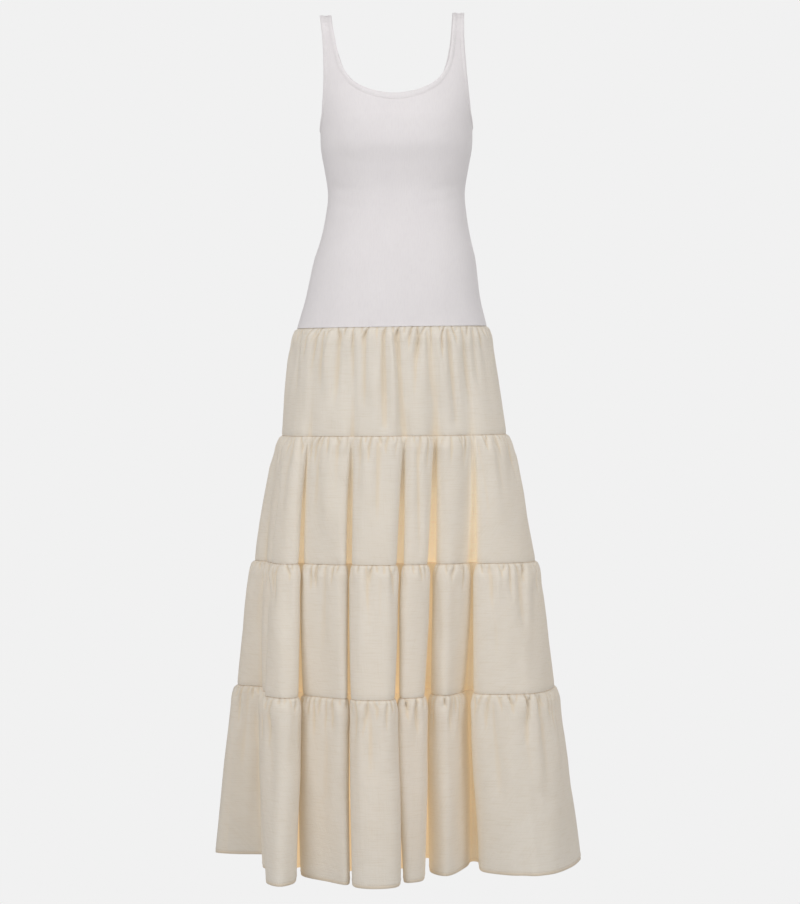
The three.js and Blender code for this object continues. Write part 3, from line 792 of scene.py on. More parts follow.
# Main creases of each tier: distance across at the top and bottom, share of the tier's
# height where they start and end, depth and width. Troughs are negative and ridges positive.
CREASE_COLUMNS = "x_top x_low start end depth width"
MAIN_CREASES = [
    {
        "front": table(CREASE_COLUMNS, [
            (-150, -172, 0, 0.8, -4, 6), (-132, -148, 0.02, 0.95, 3.7, 8), (-112, -126, 0, 0.7, -4.3, 6),
            (-84, -104, 0, 0.85, -4.7, 7), (-62, -70, 0.03, 0.6, -3.4, 6), (-43, -50, 0, 0.9, -4, 6),
            (-28, -32, 0.02, 1, 3.4, 9), (-13, -15, 0, 1, -6.5, 6), (0, 0, 0.02, 1, 3.7, 7),
            (11, 12, 0, 1, -6.2, 6), (44, 31, 0, 0.8, -4.3, 7), (58, 66, 0, 0.75, -3.7, 6),
            (74, 84, 0.05, 0.9, 3.4, 9), (92, 107, 0, 1, -6.2, 7), (116, 136, 0, 0.8, -4, 6),
            (132, 155, 0, 0.7, -3.7, 7),
        ]),
        "back": table(CREASE_COLUMNS, [
            (146, 166, 0, 0.8, -3.7, 6), (118, 134, 0, 0.9, -5, 7), (96, 104, 0.02, 0.6, -3.4, 6),
            (82, 90, 0.02, 1, 3.7, 9), (66, 72, 0, 1, -6.2, 6), (40, 36, 0, 0.7, -4, 7),
            (22, 24, 0, 0.9, -4.3, 6), (5, 2, 0.02, 1, 3.4, 8), (-12, -16, 0, 1, -5.9, 6),
            (-38, -44, 0, 0.65, -3.7, 7), (-60, -66, 0, 0.9, -4.7, 6), (-82, -92, 0.02, 0.8, -3.7, 7),
            (-98, -110, 0.02, 1, 3.4, 8), (-116, -130, 0, 1, -5.6, 6), (-140, -160, 0, 0.75, -3.7, 7),
        ]),
    },
    {
        "front": table(CREASE_COLUMNS, [
            (-168, -196, 0, 0.8, -3.5, 8), (-120, -138, 0, 0.7, -3.5, 8), (-100, -116, 0.02, 0.9, 3, 10),
            (-56, -62, 0, 0.65, -3.2, 8), (-26, -30, 0, 0.8, -3.8, 8), (38, 42, 0, 1, -4.1, 7),
            (66, 74, 0, 0.6, -3, 8), (84, 94, 0.02, 0.9, 3, 10), (140, 168, 0, 0.8, -3.5, 8),
            (164, 200, 0, 0.6, -3, 8),
        ]),
        "back": table(CREASE_COLUMNS, [
            (160, 188, 0, 0.8, -3.5, 8), (112, 132, 0, 0.9, -3.8, 8), (52, 60, 0, 0.7, -3.2, 8),
            (14, 18, 0, 0.9, -3.8, 8), (-8, -8, 0.02, 0.8, 3, 10), (-66, -76, 0, 0.8, -3.5, 8),
            (-124, -146, 0, 0.9, -3.8, 8), (-162, -192, 0, 0.7, -3.2, 8),
        ]),
    },
    {
        "front": table(CREASE_COLUMNS, [
            (-222, -246, 0, 0.7, -3.2, 9), (-170, -186, 0, 0.6, -2.8, 9), (-112, -122, 0, 0.8, -3.5, 9),
            (-40, -44, 0, 0.7, -3, 9), (-14, -14, 0.02, 0.9, 2.8, 11), (70, 76, 0, 0.8, -3.2, 9),
            (158, 172, 0, 0.9, -3.8, 9), (206, 226, 0, 0.7, -3.2, 9),
        ]),
        "back": table(CREASE_COLUMNS, [
            (206, 228, 0, 0.8, -3.2, 9), (108, 118, 0, 0.7, -3.2, 9), (26, 28, 0, 0.9, -3.5, 10),
            (-2, -4, 0.02, 0.8, 2.8, 10), (-86, -94, 0, 0.7, -3.2, 9), (-176, -194, 0, 0.8, -3.2, 9),
            (-220, -246, 0, 0.7, -3, 9),
        ]),
    },
    {
        "front": table(CREASE_COLUMNS, [
            (-248, -282, 0, 0.6, -3.4, 10), (-228, -262, 0.3, 1, 2.4, 12), (-164, -180, 0, 0.5, -2.9, 9),
            (-104, -114, 0, 0.7, -3.6, 10), (-84, -90, 0.4, 1, -2.2, 12), (-40, -44, 0, 0.5, -3.1, 9),
            (-16, -20, 0.35, 1, -2.6, 13), (76, 80, 0, 0.6, -3.1, 10), (160, 178, 0, 0.7, -3.1, 10),
            (206, 244, 0.1, 1, -3.1, 13), (236, 272, 0, 0.6, -3.1, 9),
        ]),
        "back": table(CREASE_COLUMNS, [
            (236, 268, 0, 0.7, -3.1, 10), (196, 216, 0.3, 1, -2.6, 13), (112, 122, 0, 0.8, -3.4, 11),
            (30, 30, 0, 0.6, -3.1, 10), (2, 0, 0.3, 1, -2.9, 13), (-84, -90, 0, 0.7, -3.1, 11),
            (-176, -192, 0, 0.8, -3.4, 11), (-228, -262, 0.2, 1, -2.6, 12),
        ]),
    },
]

# Faint slanting wrinkles of the lowest tier, as for the jersey
LINEN_WRINKLES = {
    "front": table(LINE_COLUMNS, [
        (-70, 1408, -36, 1398, -0.9, 4), (-196, 1424, -172, 1400, -0.8, 4),
        (-140, 1330, -108, 1300, -0.8, 6), (-52, 1290, -30, 1330, -0.9, 6), (228, 1300, 262, 1330, -1, 7),
        (176, 1400, 200, 1384, -0.9, 5), (-286, 1340, -262, 1372, -1, 7), (30, 1260, 44, 1300, -0.7, 5),
    ]),
    "back": table(LINE_COLUMNS, [
        (140, 1392, 112, 1404, -0.9, 5), (20, 1320, -10, 1340, -0.9, 6), (-96, 1400, -70, 1388, -0.9, 5),
        (210, 1310, 186, 1340, -0.9, 6), (-200, 1330, -180, 1370, -0.9, 6),
    ]),
}

TIER_SPACING = (1.3, 1.5, 1.9, 2.3)
LOWEST_TIER = len(TIER_SPACING) - 1
GATHER_SEED = 40
EDGE_FADE = 25  # how far above a tier's lower seam its soft folds end
SEAM_PULL = {"upper": 0.9, "lower": 0.7, "width": 1.6}
SEAM_TUCK = table("above inward", [(7, 2.4), (2.5, 2.0)])
HEM_ROLL = table("inward down run", [(0.35, 0.45, 0.6), (1.0, 0.55, 1.2), (1.5, 0, 1.9)])
HEM_TURN = 9
HEM_INSIDE = 1.6
HEM_GLOW_ROWS = 6  # rows at the hem's folded edge, painted with the warm glow of light that comes through the cloth
HEM_LINE = {"above": 8, "depth": 0.5, "width": 1.3, "stitch_proud": 0.1}
SIDE_TUCK = 6
SIDE_TUCK_GAP = 0.4
CROWDED = 0.25  # cloth closer together than this share of its even spacing gets no smaller gathers


def main_crease_field(creases, x, share, weight):
    height = np.zeros_like(x)
    for x_top, x_low, start, end, depth, width in zip(*creases.values()):
        centre = x_top + (x_low - x_top) * share
        fade = smoothstep((share - start + 0.01) / 0.08)
        if end < 1:
            fade = fade * (1 - smoothstep((share - 0.55 * end) / (0.45 * end)))
        else:
            fade = fade * (1 - 0.5 * smoothstep((share - 0.5) / 0.5))
        grown = width * (0.55 + 0.75 * share)
        height += depth * fade * bell(x - centre, grown)
    return height * weight


def valley_mouths(columns, downs):
    """From one side to the other of the mouth of the valley that each point belongs to."""
    folds = np.arange(len(SHALLOW_VALLEYS)) * FOLD_POINTS
    left, right = (skirt_rings(skirt_columns(folds + at), downs) for at in VALLEY_MOUTH)
    return (right - left)[:, columns["valley_number"]]


def swell_weight(columns, downs):
    """Share of the swell at each point: on the flanks of a fold, no more than its valley has room for."""
    limit = np.clip(MOUTH_SHARE * np.linalg.norm(valley_mouths(columns, downs), axis=-1) / SWELL, 0, 1)
    return columns["swell"] * (1 + (limit - 1) * columns["flank"])


def by_fold(weight, downs):
    """A weight that counts fully only where the folds are deep, and is 1 where the skirt is a plain oval."""
    return 1 + (weight - 1) * smoothstep(section_at(downs)["fold"] / 0.5)[:, None]


def swell_field(share_weight, below, height, fall):
    """How far the cloth stands out below its seam, falling back to the seam or edge below."""
    rise = np.sin(np.clip(below / SWELL_TOP, 0, 1) * math.pi / 2) ** 0.9
    places = [0, SWELL_TOP, 0.45 * height, height - SWELL_END["above"], height]
    drop = np.interp(below, places, [1, 1, fall, SWELL_END["share"], 0])
    return SWELL * (rise * drop)[:, None] * share_weight


def outward_moves(tier, columns, rings, below, downs, spans):
    """How far the swell, gathers, folds, creases and seams move each point of a tier outward."""
    height = below[-1]
    lowest = tier == LOWEST_TIER
    rng = np.random.default_rng(GATHER_SEED + tier)
    along = so_far(steps_round(rings[0]))[:-1]
    weight = by_fold(columns["gather"][None, :], downs)
    spacing = np.linalg.norm(np.roll(rings, -1, axis=1) - rings, axis=-1) / TIER_SPACING[tier]
    room = np.clip(spacing, CROWDED, 1) ** 0.5
    fall = SWELL_FALL["lowest" if lowest else "upper"]
    move = swell_field(by_fold(swell_weight(columns, downs), downs), below, height, fall)
    move = move + GATHER_SHARE[tier] * gather_field(rng, along, below) * weight * room
    edge_fade = 1 if lowest else smoothstep((height - below) / EDGE_FADE)[:, None]
    move = move + drift_field(rng, along, below, height) * weight * edge_fade
    for face, (first, last) in spans.items():
        x = rings[:, first:last, 0]
        own = weight[:, first:last]
        share = np.broadcast_to((below / height)[:, None], x.shape)
        move[:, first:last] += main_crease_field(MAIN_CREASES[tier][face], x, share, own) * edge_fade
        if lowest:
            wrinkles = crease_field(LINEN_WRINKLES[face], x, np.broadcast_to(downs[:, None], x.shape))
            move[:, first:last] += own * wrinkles
    # The cloth is drawn in at its seams, and along the stitched line of the hem
    move -= SEAM_PULL["upper"] * bell(below, SEAM_PULL["width"])[:, None]
    if lowest:
        off = below - (height - HEM_LINE["above"])
        move -= HEM_LINE["depth"] * bell(off, HEM_LINE["width"])[:, None]
    else:
        move -= SEAM_PULL["lower"] * bell(height - below, SEAM_PULL["width"])[:, None]
    return move


def tier_panels(tier):
    """The two panels of one tier, each as points, quads, cloth coordinates and depths in folds, and the line
    that the hem's stitches follow."""
    top, low = SKIRT["down"][tier], SKIRT["down"][tier + 1]
    height = low - top
    places = even_places((top + low) / 2, TIER_SPACING[tier])
    columns = skirt_columns(np.concatenate(places))
    spans = {"front": (0, len(places[0])), "back": (len(places[0]), len(columns["x"]))}
    below = tier_heights(height)
    downs = top + SEAM_GAP / 2 + below * (height - SEAM_GAP) / height
    rings = rounded(skirt_rings(columns, downs), downs)
    outward = ring_outward(rings)
    rings = rings + outward * outward_moves(tier, columns, rings, below, downs, spans)[..., None]
    line = np.searchsorted(below, height - HEM_LINE["above"])
    hem_line = (rings[line] + outward[line] * HEM_LINE["stitch_proud"], outward[line])
    rings, below = add_turned_edges(tier, columns, rings, below)
    # Depths in valleys and creases, which the linen turns into painted glow
    glow = {"valley": valley_depth(columns, rings), "hollow": hollow_depth(rings, TIER_SPACING[tier])}
    # The hem's folded edge gets the full painted glow
    if tier == LOWEST_TIER:
        glow["hollow"][-HEM_GLOW_ROWS:] = 1
    cloth_v = np.broadcast_to(below[:, None], rings.shape[:2])
    return {face: cut_panel(face, rings, cloth_v, glow, span) for face, span in spans.items()}, hem_line


def add_turned_edges(tier, columns, rings, below):
    """Adds the seam allowance inside the tier above, and the turned hem of the lowest tier."""
    height = below[-1]
    tuck_downs = SKIRT["down"][tier] - SEAM_TUCK["above"]
    tuck = rounded(skirt_rings(columns, tuck_downs), np.maximum(tuck_downs, SKIRT["down"][0]))
    tuck = tuck - ring_outward(tuck) * SEAM_TUCK["inward"][:, None, None]
    rings = np.concatenate([tuck, rings])
    below = np.concatenate([-SEAM_TUCK["above"], below])
    if tier == LOWEST_TIER:
        hem = rings[-1]
        outward = ring_outward(rings[-1:])[0]
        line = rings[np.searchsorted(below, height - HEM_TURN)]
        rolls = zip(HEM_ROLL["inward"], HEM_ROLL["down"])
        turn = [hem - outward * inward - [0, 0, down] for inward, down in rolls]
        turn.append(line - outward * HEM_INSIDE)
        rings = np.concatenate([rings, np.stack(turn)])
        below = np.concatenate([below, height + HEM_ROLL["run"], [height + HEM_TURN]])
    return rings, below


# How warmly the valleys glow for their depth at each height, which is less in the wide ones
GLOW_LIMIT = 1.3
GLOW_DEPTH = 95  # a valley this deep glows fully
VALLEY_KEEPS = table("down share", [
    (537, 0), (721, 1.5), (830, 2.6), (936, 1.9), (938, 1.2), (1151, 0.95), (1260, 1), (1440, 0.9),
])
GATHERS_HIDE = 0.85  # how much of the glow the gathers take away
WIDE_KEEPS = table("mouth share", [(8, 1), (12, 0.75), (18, 0.58), (30, 0.42)])


def valley_depth(columns, rings):
    """How warmly each point glows, from 0 on the folds' crests up to the limit deep in narrow valleys."""
    section = section_at(-rings[..., 2])
    depth = np.where(columns["front"], section["front"], section["back"])
    oval = oval_depth(depth, section["half"], rings[..., 0])
    missing = np.clip((oval - np.abs(rings[..., 1])) / GLOW_DEPTH, 0, 1)
    glow = np.minimum(missing * row_at(VALLEY_KEEPS, -rings[..., 2])["share"], GLOW_LIMIT)
    mouth = np.abs(valley_mouths(columns, -rings[:, 0, 2])[..., 0])
    glow *= np.interp(mouth, WIDE_KEEPS["mouth"], WIDE_KEEPS["share"])
    return glow * (1 - GATHERS_HIDE * columns["gather"])


HOLLOWS = ((4, 1.1), (12, 4.5))  # half width of small and large creases, and the depth of a full one


def hollow_depth(rings, spacing):
    """How far each point lies in a crease, from 0 on flat cloth to 1."""
    outward = ring_outward(rings)
    found = np.zeros(rings.shape[:2])
    for reach_mm, full in HOLLOWS:
        reach = max(round(reach_mm / spacing), 1)
        around = (np.roll(rings, -reach, axis=1) + np.roll(rings, reach, axis=1)) / 2
        hollow = ((around - rings) * outward).sum(axis=-1)
        found = np.maximum(found, np.clip(hollow / full, 0, 1))
    return found


def cut_panel(face, rings, cloth_v, glow, span):
    """One panel of a tier, with a narrow strip turned in at each side seam."""
    first, last = span
    side = SIDES[face]
    order = np.arange(first, last + 1) % rings.shape[1]
    points = rings[:, order].copy()
    points[:, [0, -1], 1] = side * SEAM_GAP / 2
    across = so_far(np.linalg.norm(np.diff(points, axis=1), axis=-1))
    across = across - across[:, -1:] / 2
    strips = []
    for edge in (0, -1):
        strip = points[:, edge].copy()
        strip[:, 0] -= np.sign(strip[:, 0]) * SIDE_TUCK
        strip[:, 1] = side * SIDE_TUCK_GAP
        strips.append(strip[:, None])
    points = np.concatenate([strips[0], points, strips[1]], axis=1)
    across = np.concatenate([across[:, :1] - SIDE_TUCK, across, across[:, -1:] + SIDE_TUCK], axis=1)
    padded = np.concatenate([order[:1], order, order[-1:]])
    glow = {name: values[:, padded].reshape(-1) for name, values in glow.items()}
    down = np.broadcast_to(cloth_v[:, :1], across.shape)
    index = np.arange(across.size).reshape(across.shape)
    cloth = np.stack([across, down], axis=-1)
    return points.reshape(-1, 3), grid_quads(index), cloth.reshape(-1, 2), glow


# Materials
def socket(node, name, value):
    node.inputs[name].default_value = value


class Nodes:
    """Builds one material's nodes in short calls."""

    def __init__(self, name):
        self.material = bpy.data.materials.new(name)
        self.material.use_nodes = True
        self.tree = self.material.node_tree
        self.shader = self.tree.nodes["Principled BSDF"]

    def finish(self, settings):
        """Sets the shader's own sockets, for what is the same all over."""
        for name, value in settings.items():
            socket(self.shader, name, value)

    def cloth(self):
        """The cloth coordinates, and how far across and down the cloth a place is."""
        coordinates = self.add("ShaderNodeUVMap", uv_map="cloth").outputs[0]
        place = self.add("ShaderNodeSeparateXYZ")
        self.link(coordinates, place.inputs[0])
        return coordinates, place.outputs[0], place.outputs[1]

    def add(self, kind, **settings):
        node = self.tree.nodes.new(kind)
        for name, value in settings.items():
            setattr(node, name, value)
        return node

    def link(self, source, target):
        self.tree.links.new(source, target)

    def math(self, operation, a, b=0.0):
        node = self.add("ShaderNodeMath", operation=operation)
        for slot, value in zip(node.inputs, (a, b)):
            if isinstance(value, (int, float)):
                slot.default_value = value
            else:
                self.link(value, slot)
        return node.outputs[0]

    def waves(self, distance, length):
        """A sine wave along a cloth coordinate, with its length in millimetres."""
        return self.math("SINE", self.math("MULTIPLY", distance, 2 * math.pi / (length * MM)))

    def stretched_noise(self, coordinates, across, down, detail=3, roughness=0.6):
        """Noise whose blotches are across by down millimetres of cloth."""
        mapping = self.add("ShaderNodeMapping")
        self.link(coordinates, mapping.inputs["Vector"])
        socket(mapping, "Scale", (1000 / across, 1000 / down, 1))
        noise = self.add("ShaderNodeTexNoise", noise_dimensions="2D")
        self.link(mapping.outputs[0], noise.inputs["Vector"])
        socket(noise, "Scale", 1.0)
        socket(noise, "Detail", detail)
        socket(noise, "Roughness", roughness)
        return noise.outputs[0]

    def span(self, value, low, high, new_low, new_high):
        node = self.add("ShaderNodeMapRange")
        self.link(value, node.inputs["Value"])
        for name, number in zip(("From Min", "From Max", "To Min", "To Max"), (low, high, new_low, new_high)):
            socket(node, name, number)
        return node.outputs[0]

    def mix(self, share, a, b):
        node = self.add("ShaderNodeMix", data_type="RGBA")
        if isinstance(share, (int, float)):
            node.inputs[0].default_value = share
        else:
            self.link(share, node.inputs[0])
        for slot, colour in ((node.inputs[6], a), (node.inputs[7], b)):
            if isinstance(colour, tuple):
                slot.default_value = (*colour, 1)
            else:
                self.link(colour, slot)
        return node.outputs[2]

    def let_light_through(self, colour, share, normal):
        """Mixes in a shader for the light that comes through thin cloth from behind."""
        through = self.add("ShaderNodeBsdfTranslucent")
        socket(through, "Color", (*colour, 1))
        self.link(normal, through.inputs["Normal"])
        mixed = self.add("ShaderNodeMixShader")
        socket(mixed, 0, share)
        self.link(self.shader.outputs[0], mixed.inputs[1])
        self.link(through.outputs[0], mixed.inputs[2])
        self.link(mixed.outputs[0], self.tree.nodes["Material Output"].inputs["Surface"])

    def bump(self, height, distance, strength, before=None):
        """Bumps as high as the distance in millimetres, over those that come before."""
        node = self.add("ShaderNodeBump")
        self.link(height, node.inputs["Height"])
        socket(node, "Distance", distance * MM)
        socket(node, "Strength", strength)
        if before is not None:
            self.link(before, node.inputs["Normal"])
        return node.outputs[0]


SEAM_STITCH = 2.8
LINEN_THREAD = 1.15
JERSEY_RIB = 1.25
JERSEY_LOOP = 0.9
SEAM_SHADE_AND_STITCHES = (0.50, 0.37, 0.26)
LINEN_THROUGH = (0.95, 0.86, 0.73)
LINEN_COLOUR = (0.87, 0.825, 0.75)
LINEN_SLUB = (0.78, 0.715, 0.61)
LINEN_PALE = (0.91, 0.875, 0.815)
# Warm tint painted where the cloth lies in creases and valleys, as their glow
PAINTED_CREASE_GLOW = (0.87, 0.71, 0.49)

# Painted light: glow that the valleys between the folds emit, standing in for light that passes through the
# folds, paler where the folds are small
SMALL_FOLD_LIGHT = (0.62, 0.535, 0.395)
DEEP_FOLD_LIGHT = (0.49, 0.39, 0.25)

# Size of the slubs, patches and crumples of the cloth, across and down
WEFT_SLUB = (34, 1.7)
WARP_SLUB = (1.8, 46)
LINEN_PATCH = (60, 85)
LINEN_CRUMPLE = (14, 22)
JERSEY_FUZZ = (2.2, 14)
JERSEY_PATCH = (45, 70)

LINEN_THINNESS = 0.26  # share of the light that comes through from behind
LINEN_FINISH = {
    "Roughness": 0.9,
    "Specular IOR Level": 0.2,
    "Sheen Weight": 0.12,
    "Sheen Roughness": 0.5,
    # emission for the painted glow in the valleys
    "Emission Strength": 1.0,
}
JERSEY_FINISH = {
    "Roughness": 0.85,
    "Specular IOR Level": 0.25,
    "Sheen Weight": 0.2,
    "Sheen Roughness": 0.45,
}

JERSEY_COLOUR = (0.785, 0.755, 0.765)
JERSEY_TONE_AND_RIB_SHADE = (0.71, 0.675, 0.69)
CREAM_THREAD = (0.80, 0.73, 0.64)
WHITE_THREAD = (0.84, 0.80, 0.81)
THREAD_GRAIN = 1800  # noise cells in each metre


def linen_material(name, painted_seam_line, valley_light):
    nodes = Nodes(name)
    cloth, across, down = nodes.cloth()
    weft = nodes.stretched_noise(cloth, *WEFT_SLUB)
    warp = nodes.stretched_noise(cloth, *WARP_SLUB)
    patches = nodes.stretched_noise(cloth, *LINEN_PATCH, detail=2)
    slub = nodes.math("ADD", nodes.span(weft, 0.5, 0.75, 0, 0.5), nodes.span(warp, 0.54, 0.78, 0, 0.36))
    colour = nodes.mix(nodes.span(patches, 0.3, 0.7, 0, 0.45), LINEN_COLOUR, LINEN_PALE)
    colour = nodes.mix(slub, colour, LINEN_SLUB)
    valley = nodes.add("ShaderNodeAttribute", attribute_name="valley").outputs["Fac"]
    hollow = nodes.add("ShaderNodeAttribute", attribute_name="hollow").outputs["Fac"]
    # Painted light: creases, valleys and the hem's folded edge are tinted towards a warm glow, standing in
    # for light that bounces between the folds and comes through the cloth
    colour = nodes.mix(nodes.span(hollow, 0.15, 1, 0, 0.36), colour, PAINTED_CREASE_GLOW)
    colour = nodes.mix(nodes.span(valley, 0.05, 0.9, 0, 0.6), colour, PAINTED_CREASE_GLOW)
    # Painted shade along the seam's groove, dotted like the thread of its stitches
    if painted_seam_line:
        from_seam = nodes.math("ABSOLUTE", down)
        pricks = nodes.waves(across, SEAM_STITCH)
        near = nodes.span(from_seam, 0.4 * MM, 1.5 * MM, 1, 0)
        seam = nodes.math("MULTIPLY", near, nodes.span(pricks, -1, 1, 0.35, 0.8))
        colour = nodes.mix(seam, colour, SEAM_SHADE_AND_STITCHES)
    nodes.link(colour, nodes.shader.inputs["Base Color"])
    # Painted light: the valleys emit a warm glow by their depth, a little uneven with the slubs and patches
    weaker = tuple(0.6 * part for part in valley_light)
    light = nodes.mix(nodes.math("ADD", slub, nodes.span(patches, 0.3, 0.7, 0, 0.4)), valley_light, weaker)
    painted_valley_glow = nodes.mix(nodes.span(valley, 0.05, GLOW_LIMIT, 0, 1), (0.0, 0.0, 0.0), light)
    nodes.link(painted_valley_glow, nodes.shader.inputs["Emission Color"])
    weave = nodes.math("MULTIPLY", nodes.waves(across, LINEN_THREAD), nodes.waves(down, LINEN_THREAD))
    normal = nodes.bump(weave, 0.12, 0.35)
    relief = nodes.math("ADD", weft, nodes.math("MULTIPLY", warp, 0.7))
    normal = nodes.bump(relief, 0.5, 0.5, before=normal)
    soft = nodes.stretched_noise(cloth, *LINEN_CRUMPLE, detail=4)
    normal = nodes.bump(soft, 1.6, 0.35, before=normal)
    nodes.link(normal, nodes.shader.inputs["Normal"])
    nodes.finish(LINEN_FINISH)
    nodes.let_light_through(LINEN_THROUGH, LINEN_THINNESS, normal)
    return nodes.material


def jersey_material(name):
    nodes = Nodes(name)
    cloth, across, down = nodes.cloth()
    ribs = nodes.waves(across, JERSEY_RIB)
    fine = nodes.stretched_noise(cloth, *JERSEY_FUZZ)
    patches = nodes.stretched_noise(cloth, *JERSEY_PATCH, detail=2)
    colour = nodes.mix(nodes.span(fine, 0.45, 0.8, 0, 0.4), JERSEY_COLOUR, JERSEY_TONE_AND_RIB_SHADE)
    colour = nodes.mix(nodes.span(patches, 0.35, 0.7, 0, 0.18), colour, JERSEY_TONE_AND_RIB_SHADE)
    # Painted shade in the rib grooves, where the rib bump is low; the darker fuzz and patches above are the
    # knit's own uneven tone
    colour = nodes.mix(nodes.span(ribs, -1, 0.2, 0.22, 0), colour, JERSEY_TONE_AND_RIB_SHADE)
    nodes.link(colour, nodes.shader.inputs["Base Color"])
    loops = nodes.waves(down, JERSEY_LOOP)
    knit = nodes.math("ADD", ribs, nodes.math("MULTIPLY", loops, 0.35))
    normal = nodes.bump(knit, 0.16, 0.4)
    normal = nodes.bump(fine, 0.35, 0.4, before=normal)
    nodes.link(normal, nodes.shader.inputs["Normal"])
    nodes.finish(JERSEY_FINISH)
    return nodes.material


def thread_material(name, colour):
    nodes = Nodes(name)
    place = nodes.add("ShaderNodeTexCoord").outputs["Object"]
    noise = nodes.add("ShaderNodeTexNoise")
    nodes.link(place, noise.inputs["Vector"])
    socket(noise, "Scale", THREAD_GRAIN)
    darker = tuple(0.82 * part for part in colour)
    nodes.link(nodes.mix(noise.outputs[0], colour, darker), nodes.shader.inputs["Base Color"])
    nodes.link(nodes.bump(noise.outputs[0], 0.1, 0.5), nodes.shader.inputs["Normal"])
    nodes.finish({"Roughness": 0.7})
    return nodes.material


# Pieces
def add_piece(name, points, quads, cloth=None, glow=None, material=None):
    """A piece from points in millimetres, moved to where the dress hangs, in metres."""
    mesh = bpy.data.meshes.new(name)
    mesh.from_pydata(hang(points) * MM, [], quads)
    mesh.polygons.foreach_set("use_smooth", np.ones(len(mesh.polygons), bool))
    if cloth is not None:
        corners = np.empty(len(mesh.loops), np.int32)
        mesh.loops.foreach_get("vertex_index", corners)
        layer = mesh.uv_layers.new(name="cloth")
        layer.data.foreach_set("uv", (cloth[corners] * MM).astype(np.float32).ravel())
    for label, values in (glow or {}).items():
        attribute = mesh.attributes.new(label, "FLOAT", "POINT")
        attribute.data.foreach_set("value", values.astype(np.float32))
    mesh.materials.append(material)
    mesh.update()
    mesh.validate()
    piece = bpy.data.objects.new(name, mesh)
    bpy.context.scene.collection.objects.link(piece)
    return piece


def build_bodice(material, binding_material, stitching_material):
    panels = {}
    for face in SIDES:
        points, quads, cloth = bodice_panel(face)
        piece = add_piece(f"knit_bodice_{face}", points, quads, cloth, material=material)
        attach(piece, "root")
        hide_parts(f"bodice_{face}")
        panels[face] = piece
    front, back = SIDES
    neck_parts = [
        (back, NECKLINE, NECK_BAND, 0, -1, False),
        (front, NECKLINE, NECK_BAND, 0, -1, True),
        (front, NECKLINE, NECK_BAND, 0, 1, False),
        (back, NECKLINE, NECK_BAND, 0, 1, True),
    ]
    bands = [("neck_binding", "knit_neck_binding", neck_parts)]
    for label, mirror in (("right", -1), ("left", 1)):
        parts = [(front, ARMHOLE, ARM_BAND, 90, mirror, False), (back, ARMHOLE, ARM_BAND, 90, mirror, True)]
        bands.append((f"armhole_binding_{label}", f"knit_armhole_binding_{label}", parts))
    bindings = []
    for number, (node, name, parts) in enumerate(bands):
        points, quads, cloth, path, normal = binding(parts, BINDING_SEED + number)
        piece = add_piece(name, points, quads, cloth, material=binding_material)
        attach(piece, "root")
        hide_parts(node)
        stitched = stitch_rows(path, normal, STITCH)
        stitches = add_piece(name.replace("knit", "stitches"), *stitched, material=stitching_material)
        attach(stitches, "root")
        bindings += [piece, stitches]
    return panels


# Width and length of each tier's two panels before they were gathered, in metres
TIER_CUTS = [(0.70, 0.196), (1.10, 0.228), (1.55, 0.226), (2.15, 0.32)]
HEM_STITCH = {"length": 2.6, "pitch": 3.6, "radius": 0.24}


def build_skirt(materials, stitching_material):
    for tier, cut in enumerate(TIER_CUTS):
        material = materials[min(tier, len(materials) - 1)]
        cut_panels, hem_line = tier_panels(tier)
        for face, (points, quads, cloth, glow) in cut_panels.items():
            piece = add_piece(f"linen_tier_{tier + 1}_{face}", points, quads, cloth, glow, material)
            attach(piece, "root")
            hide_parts(f"tier_{tier + 1}_{face}")
    stitches = add_piece("stitches_hem", *stitch_rows(*hem_line, HEM_STITCH), material=stitching_material)
    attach(stitches, "root")


# Stage, light and camera, in metres
FLOOR_GAP = 0.18
FLOOR_RADIUS = 9.5
BACKDROP = {"radius": 10, "up": 2}
STAGE_WHITE = 0.8796  # the photograph's background, as linear light


def stage_material():
    material = bpy.data.materials.new("plain_paper")
    material.use_nodes = True
    nodes = material.node_tree.nodes
    nodes.clear()
    emission = nodes.new("ShaderNodeEmission")
    emission.inputs["Color"].default_value = (STAGE_WHITE, STAGE_WHITE, STAGE_WHITE, 1)
    output = nodes.new("ShaderNodeOutputMaterial")
    material.node_tree.links.new(emission.outputs[0], output.inputs["Surface"])
    return material


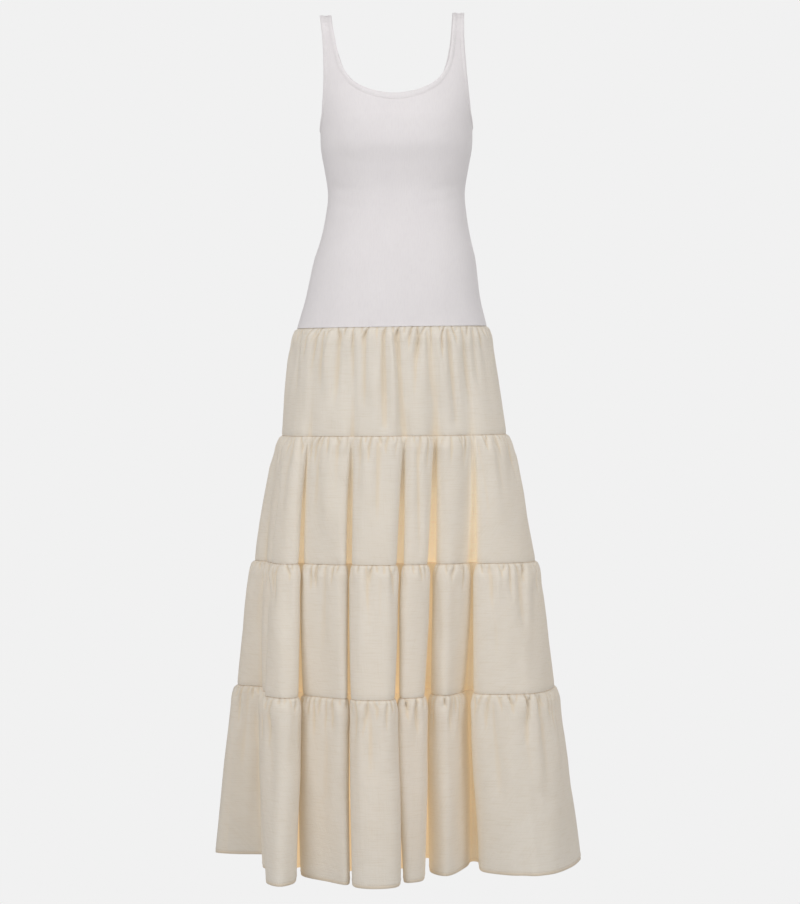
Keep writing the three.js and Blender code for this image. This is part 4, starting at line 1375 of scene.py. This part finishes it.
def build_stage():
    """A plain pale floor and a backdrop all round, which show but cast no light or shadow."""
    material = stage_material()
    floor_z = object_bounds()[0][2] - FLOOR_GAP
    at = (0, 0, floor_z)
    bpy.ops.mesh.primitive_circle_add(vertices=96, radius=FLOOR_RADIUS, fill_type="NGON", location=at)
    floor = bpy.context.object
    floor.name = "studio_floor"
    at = (0, 0, floor_z + BACKDROP["up"])
    bpy.ops.mesh.primitive_uv_sphere_add(segments=64, ring_count=32, radius=BACKDROP["radius"], location=at)
    backdrop = bpy.context.object
    backdrop.name = "studio_backdrop"
    for piece in (floor, backdrop):
        piece.data.materials.append(material)
        piece.visible_diffuse = False
        piece.visible_glossy = False
        piece.visible_transmission = False
        piece.visible_shadow = False


LIGHTS = {
    "softbox_front": {"at": (-1.5, -2.1, 0.6), "size": 1.9, "watts": 41},
    "softbox_right": {"at": (2.4, -2.0, 0.5), "size": 2.0, "watts": 40},
    "softbox_back": {"at": (0.6, 3.2, 0.9), "size": 2.6, "watts": 50},
}
LIGHT_TARGET = (0, 0, -0.4)
AMBIENT = 0.40


def build_lights():
    for name, facts in LIGHTS.items():
        light = bpy.data.lights.new(name, "AREA")
        light.shape = "SQUARE"
        light.size = facts["size"]
        light.energy = facts["watts"]
        lamp = bpy.data.objects.new(name, light)
        lamp.location = facts["at"]
        lamp.rotation_euler = (Vector(LIGHT_TARGET) - Vector(facts["at"])).to_track_quat("-Z", "Y").to_euler()
        bpy.context.scene.collection.objects.link(lamp)
    world = bpy.data.worlds.new("even_light")
    world.use_nodes = True
    background = world.node_tree.nodes["Background"]
    background.inputs["Color"].default_value = (1, 0.99, 0.975, 1)
    background.inputs["Strength"].default_value = AMBIENT
    bpy.context.scene.world = world
    bpy.context.scene.view_settings.view_transform = "Standard"


CAMERA = {"lens": 83.35, "sensor": 36, "at": (0.0069, -3.6, -0.7516)}


def build_camera():
    camera = bpy.data.cameras.new("photo_view")
    camera.lens = CAMERA["lens"]
    camera.sensor_width = CAMERA["sensor"]
    view = bpy.data.objects.new("photo_view", camera)
    view.location = CAMERA["at"]
    view.rotation_euler = (math.pi / 2, 0, 0)
    bpy.context.scene.collection.objects.link(view)
    bpy.context.scene.camera = view


build_camera()
bodice_panels = build_bodice(
    jersey_material("fine_rib_jersey"),
    jersey_material("binding_jersey"),
    thread_material("white_thread", WHITE_THREAD),
)
# Copies of one linen that differ in their painted valley glow, paler on the two upper tiers, and in the
# painted seam line, which the top tier lacks
linens = [
    linen_material("slubbed_linen_under_jersey", False, SMALL_FOLD_LIGHT),
    linen_material("slubbed_linen_small_folds", True, SMALL_FOLD_LIGHT),
    linen_material("slubbed_linen", True, DEEP_FOLD_LIGHT),
]
build_skirt(linens, thread_material("cream_thread", CREAM_THREAD))
build_stage()
build_lights()
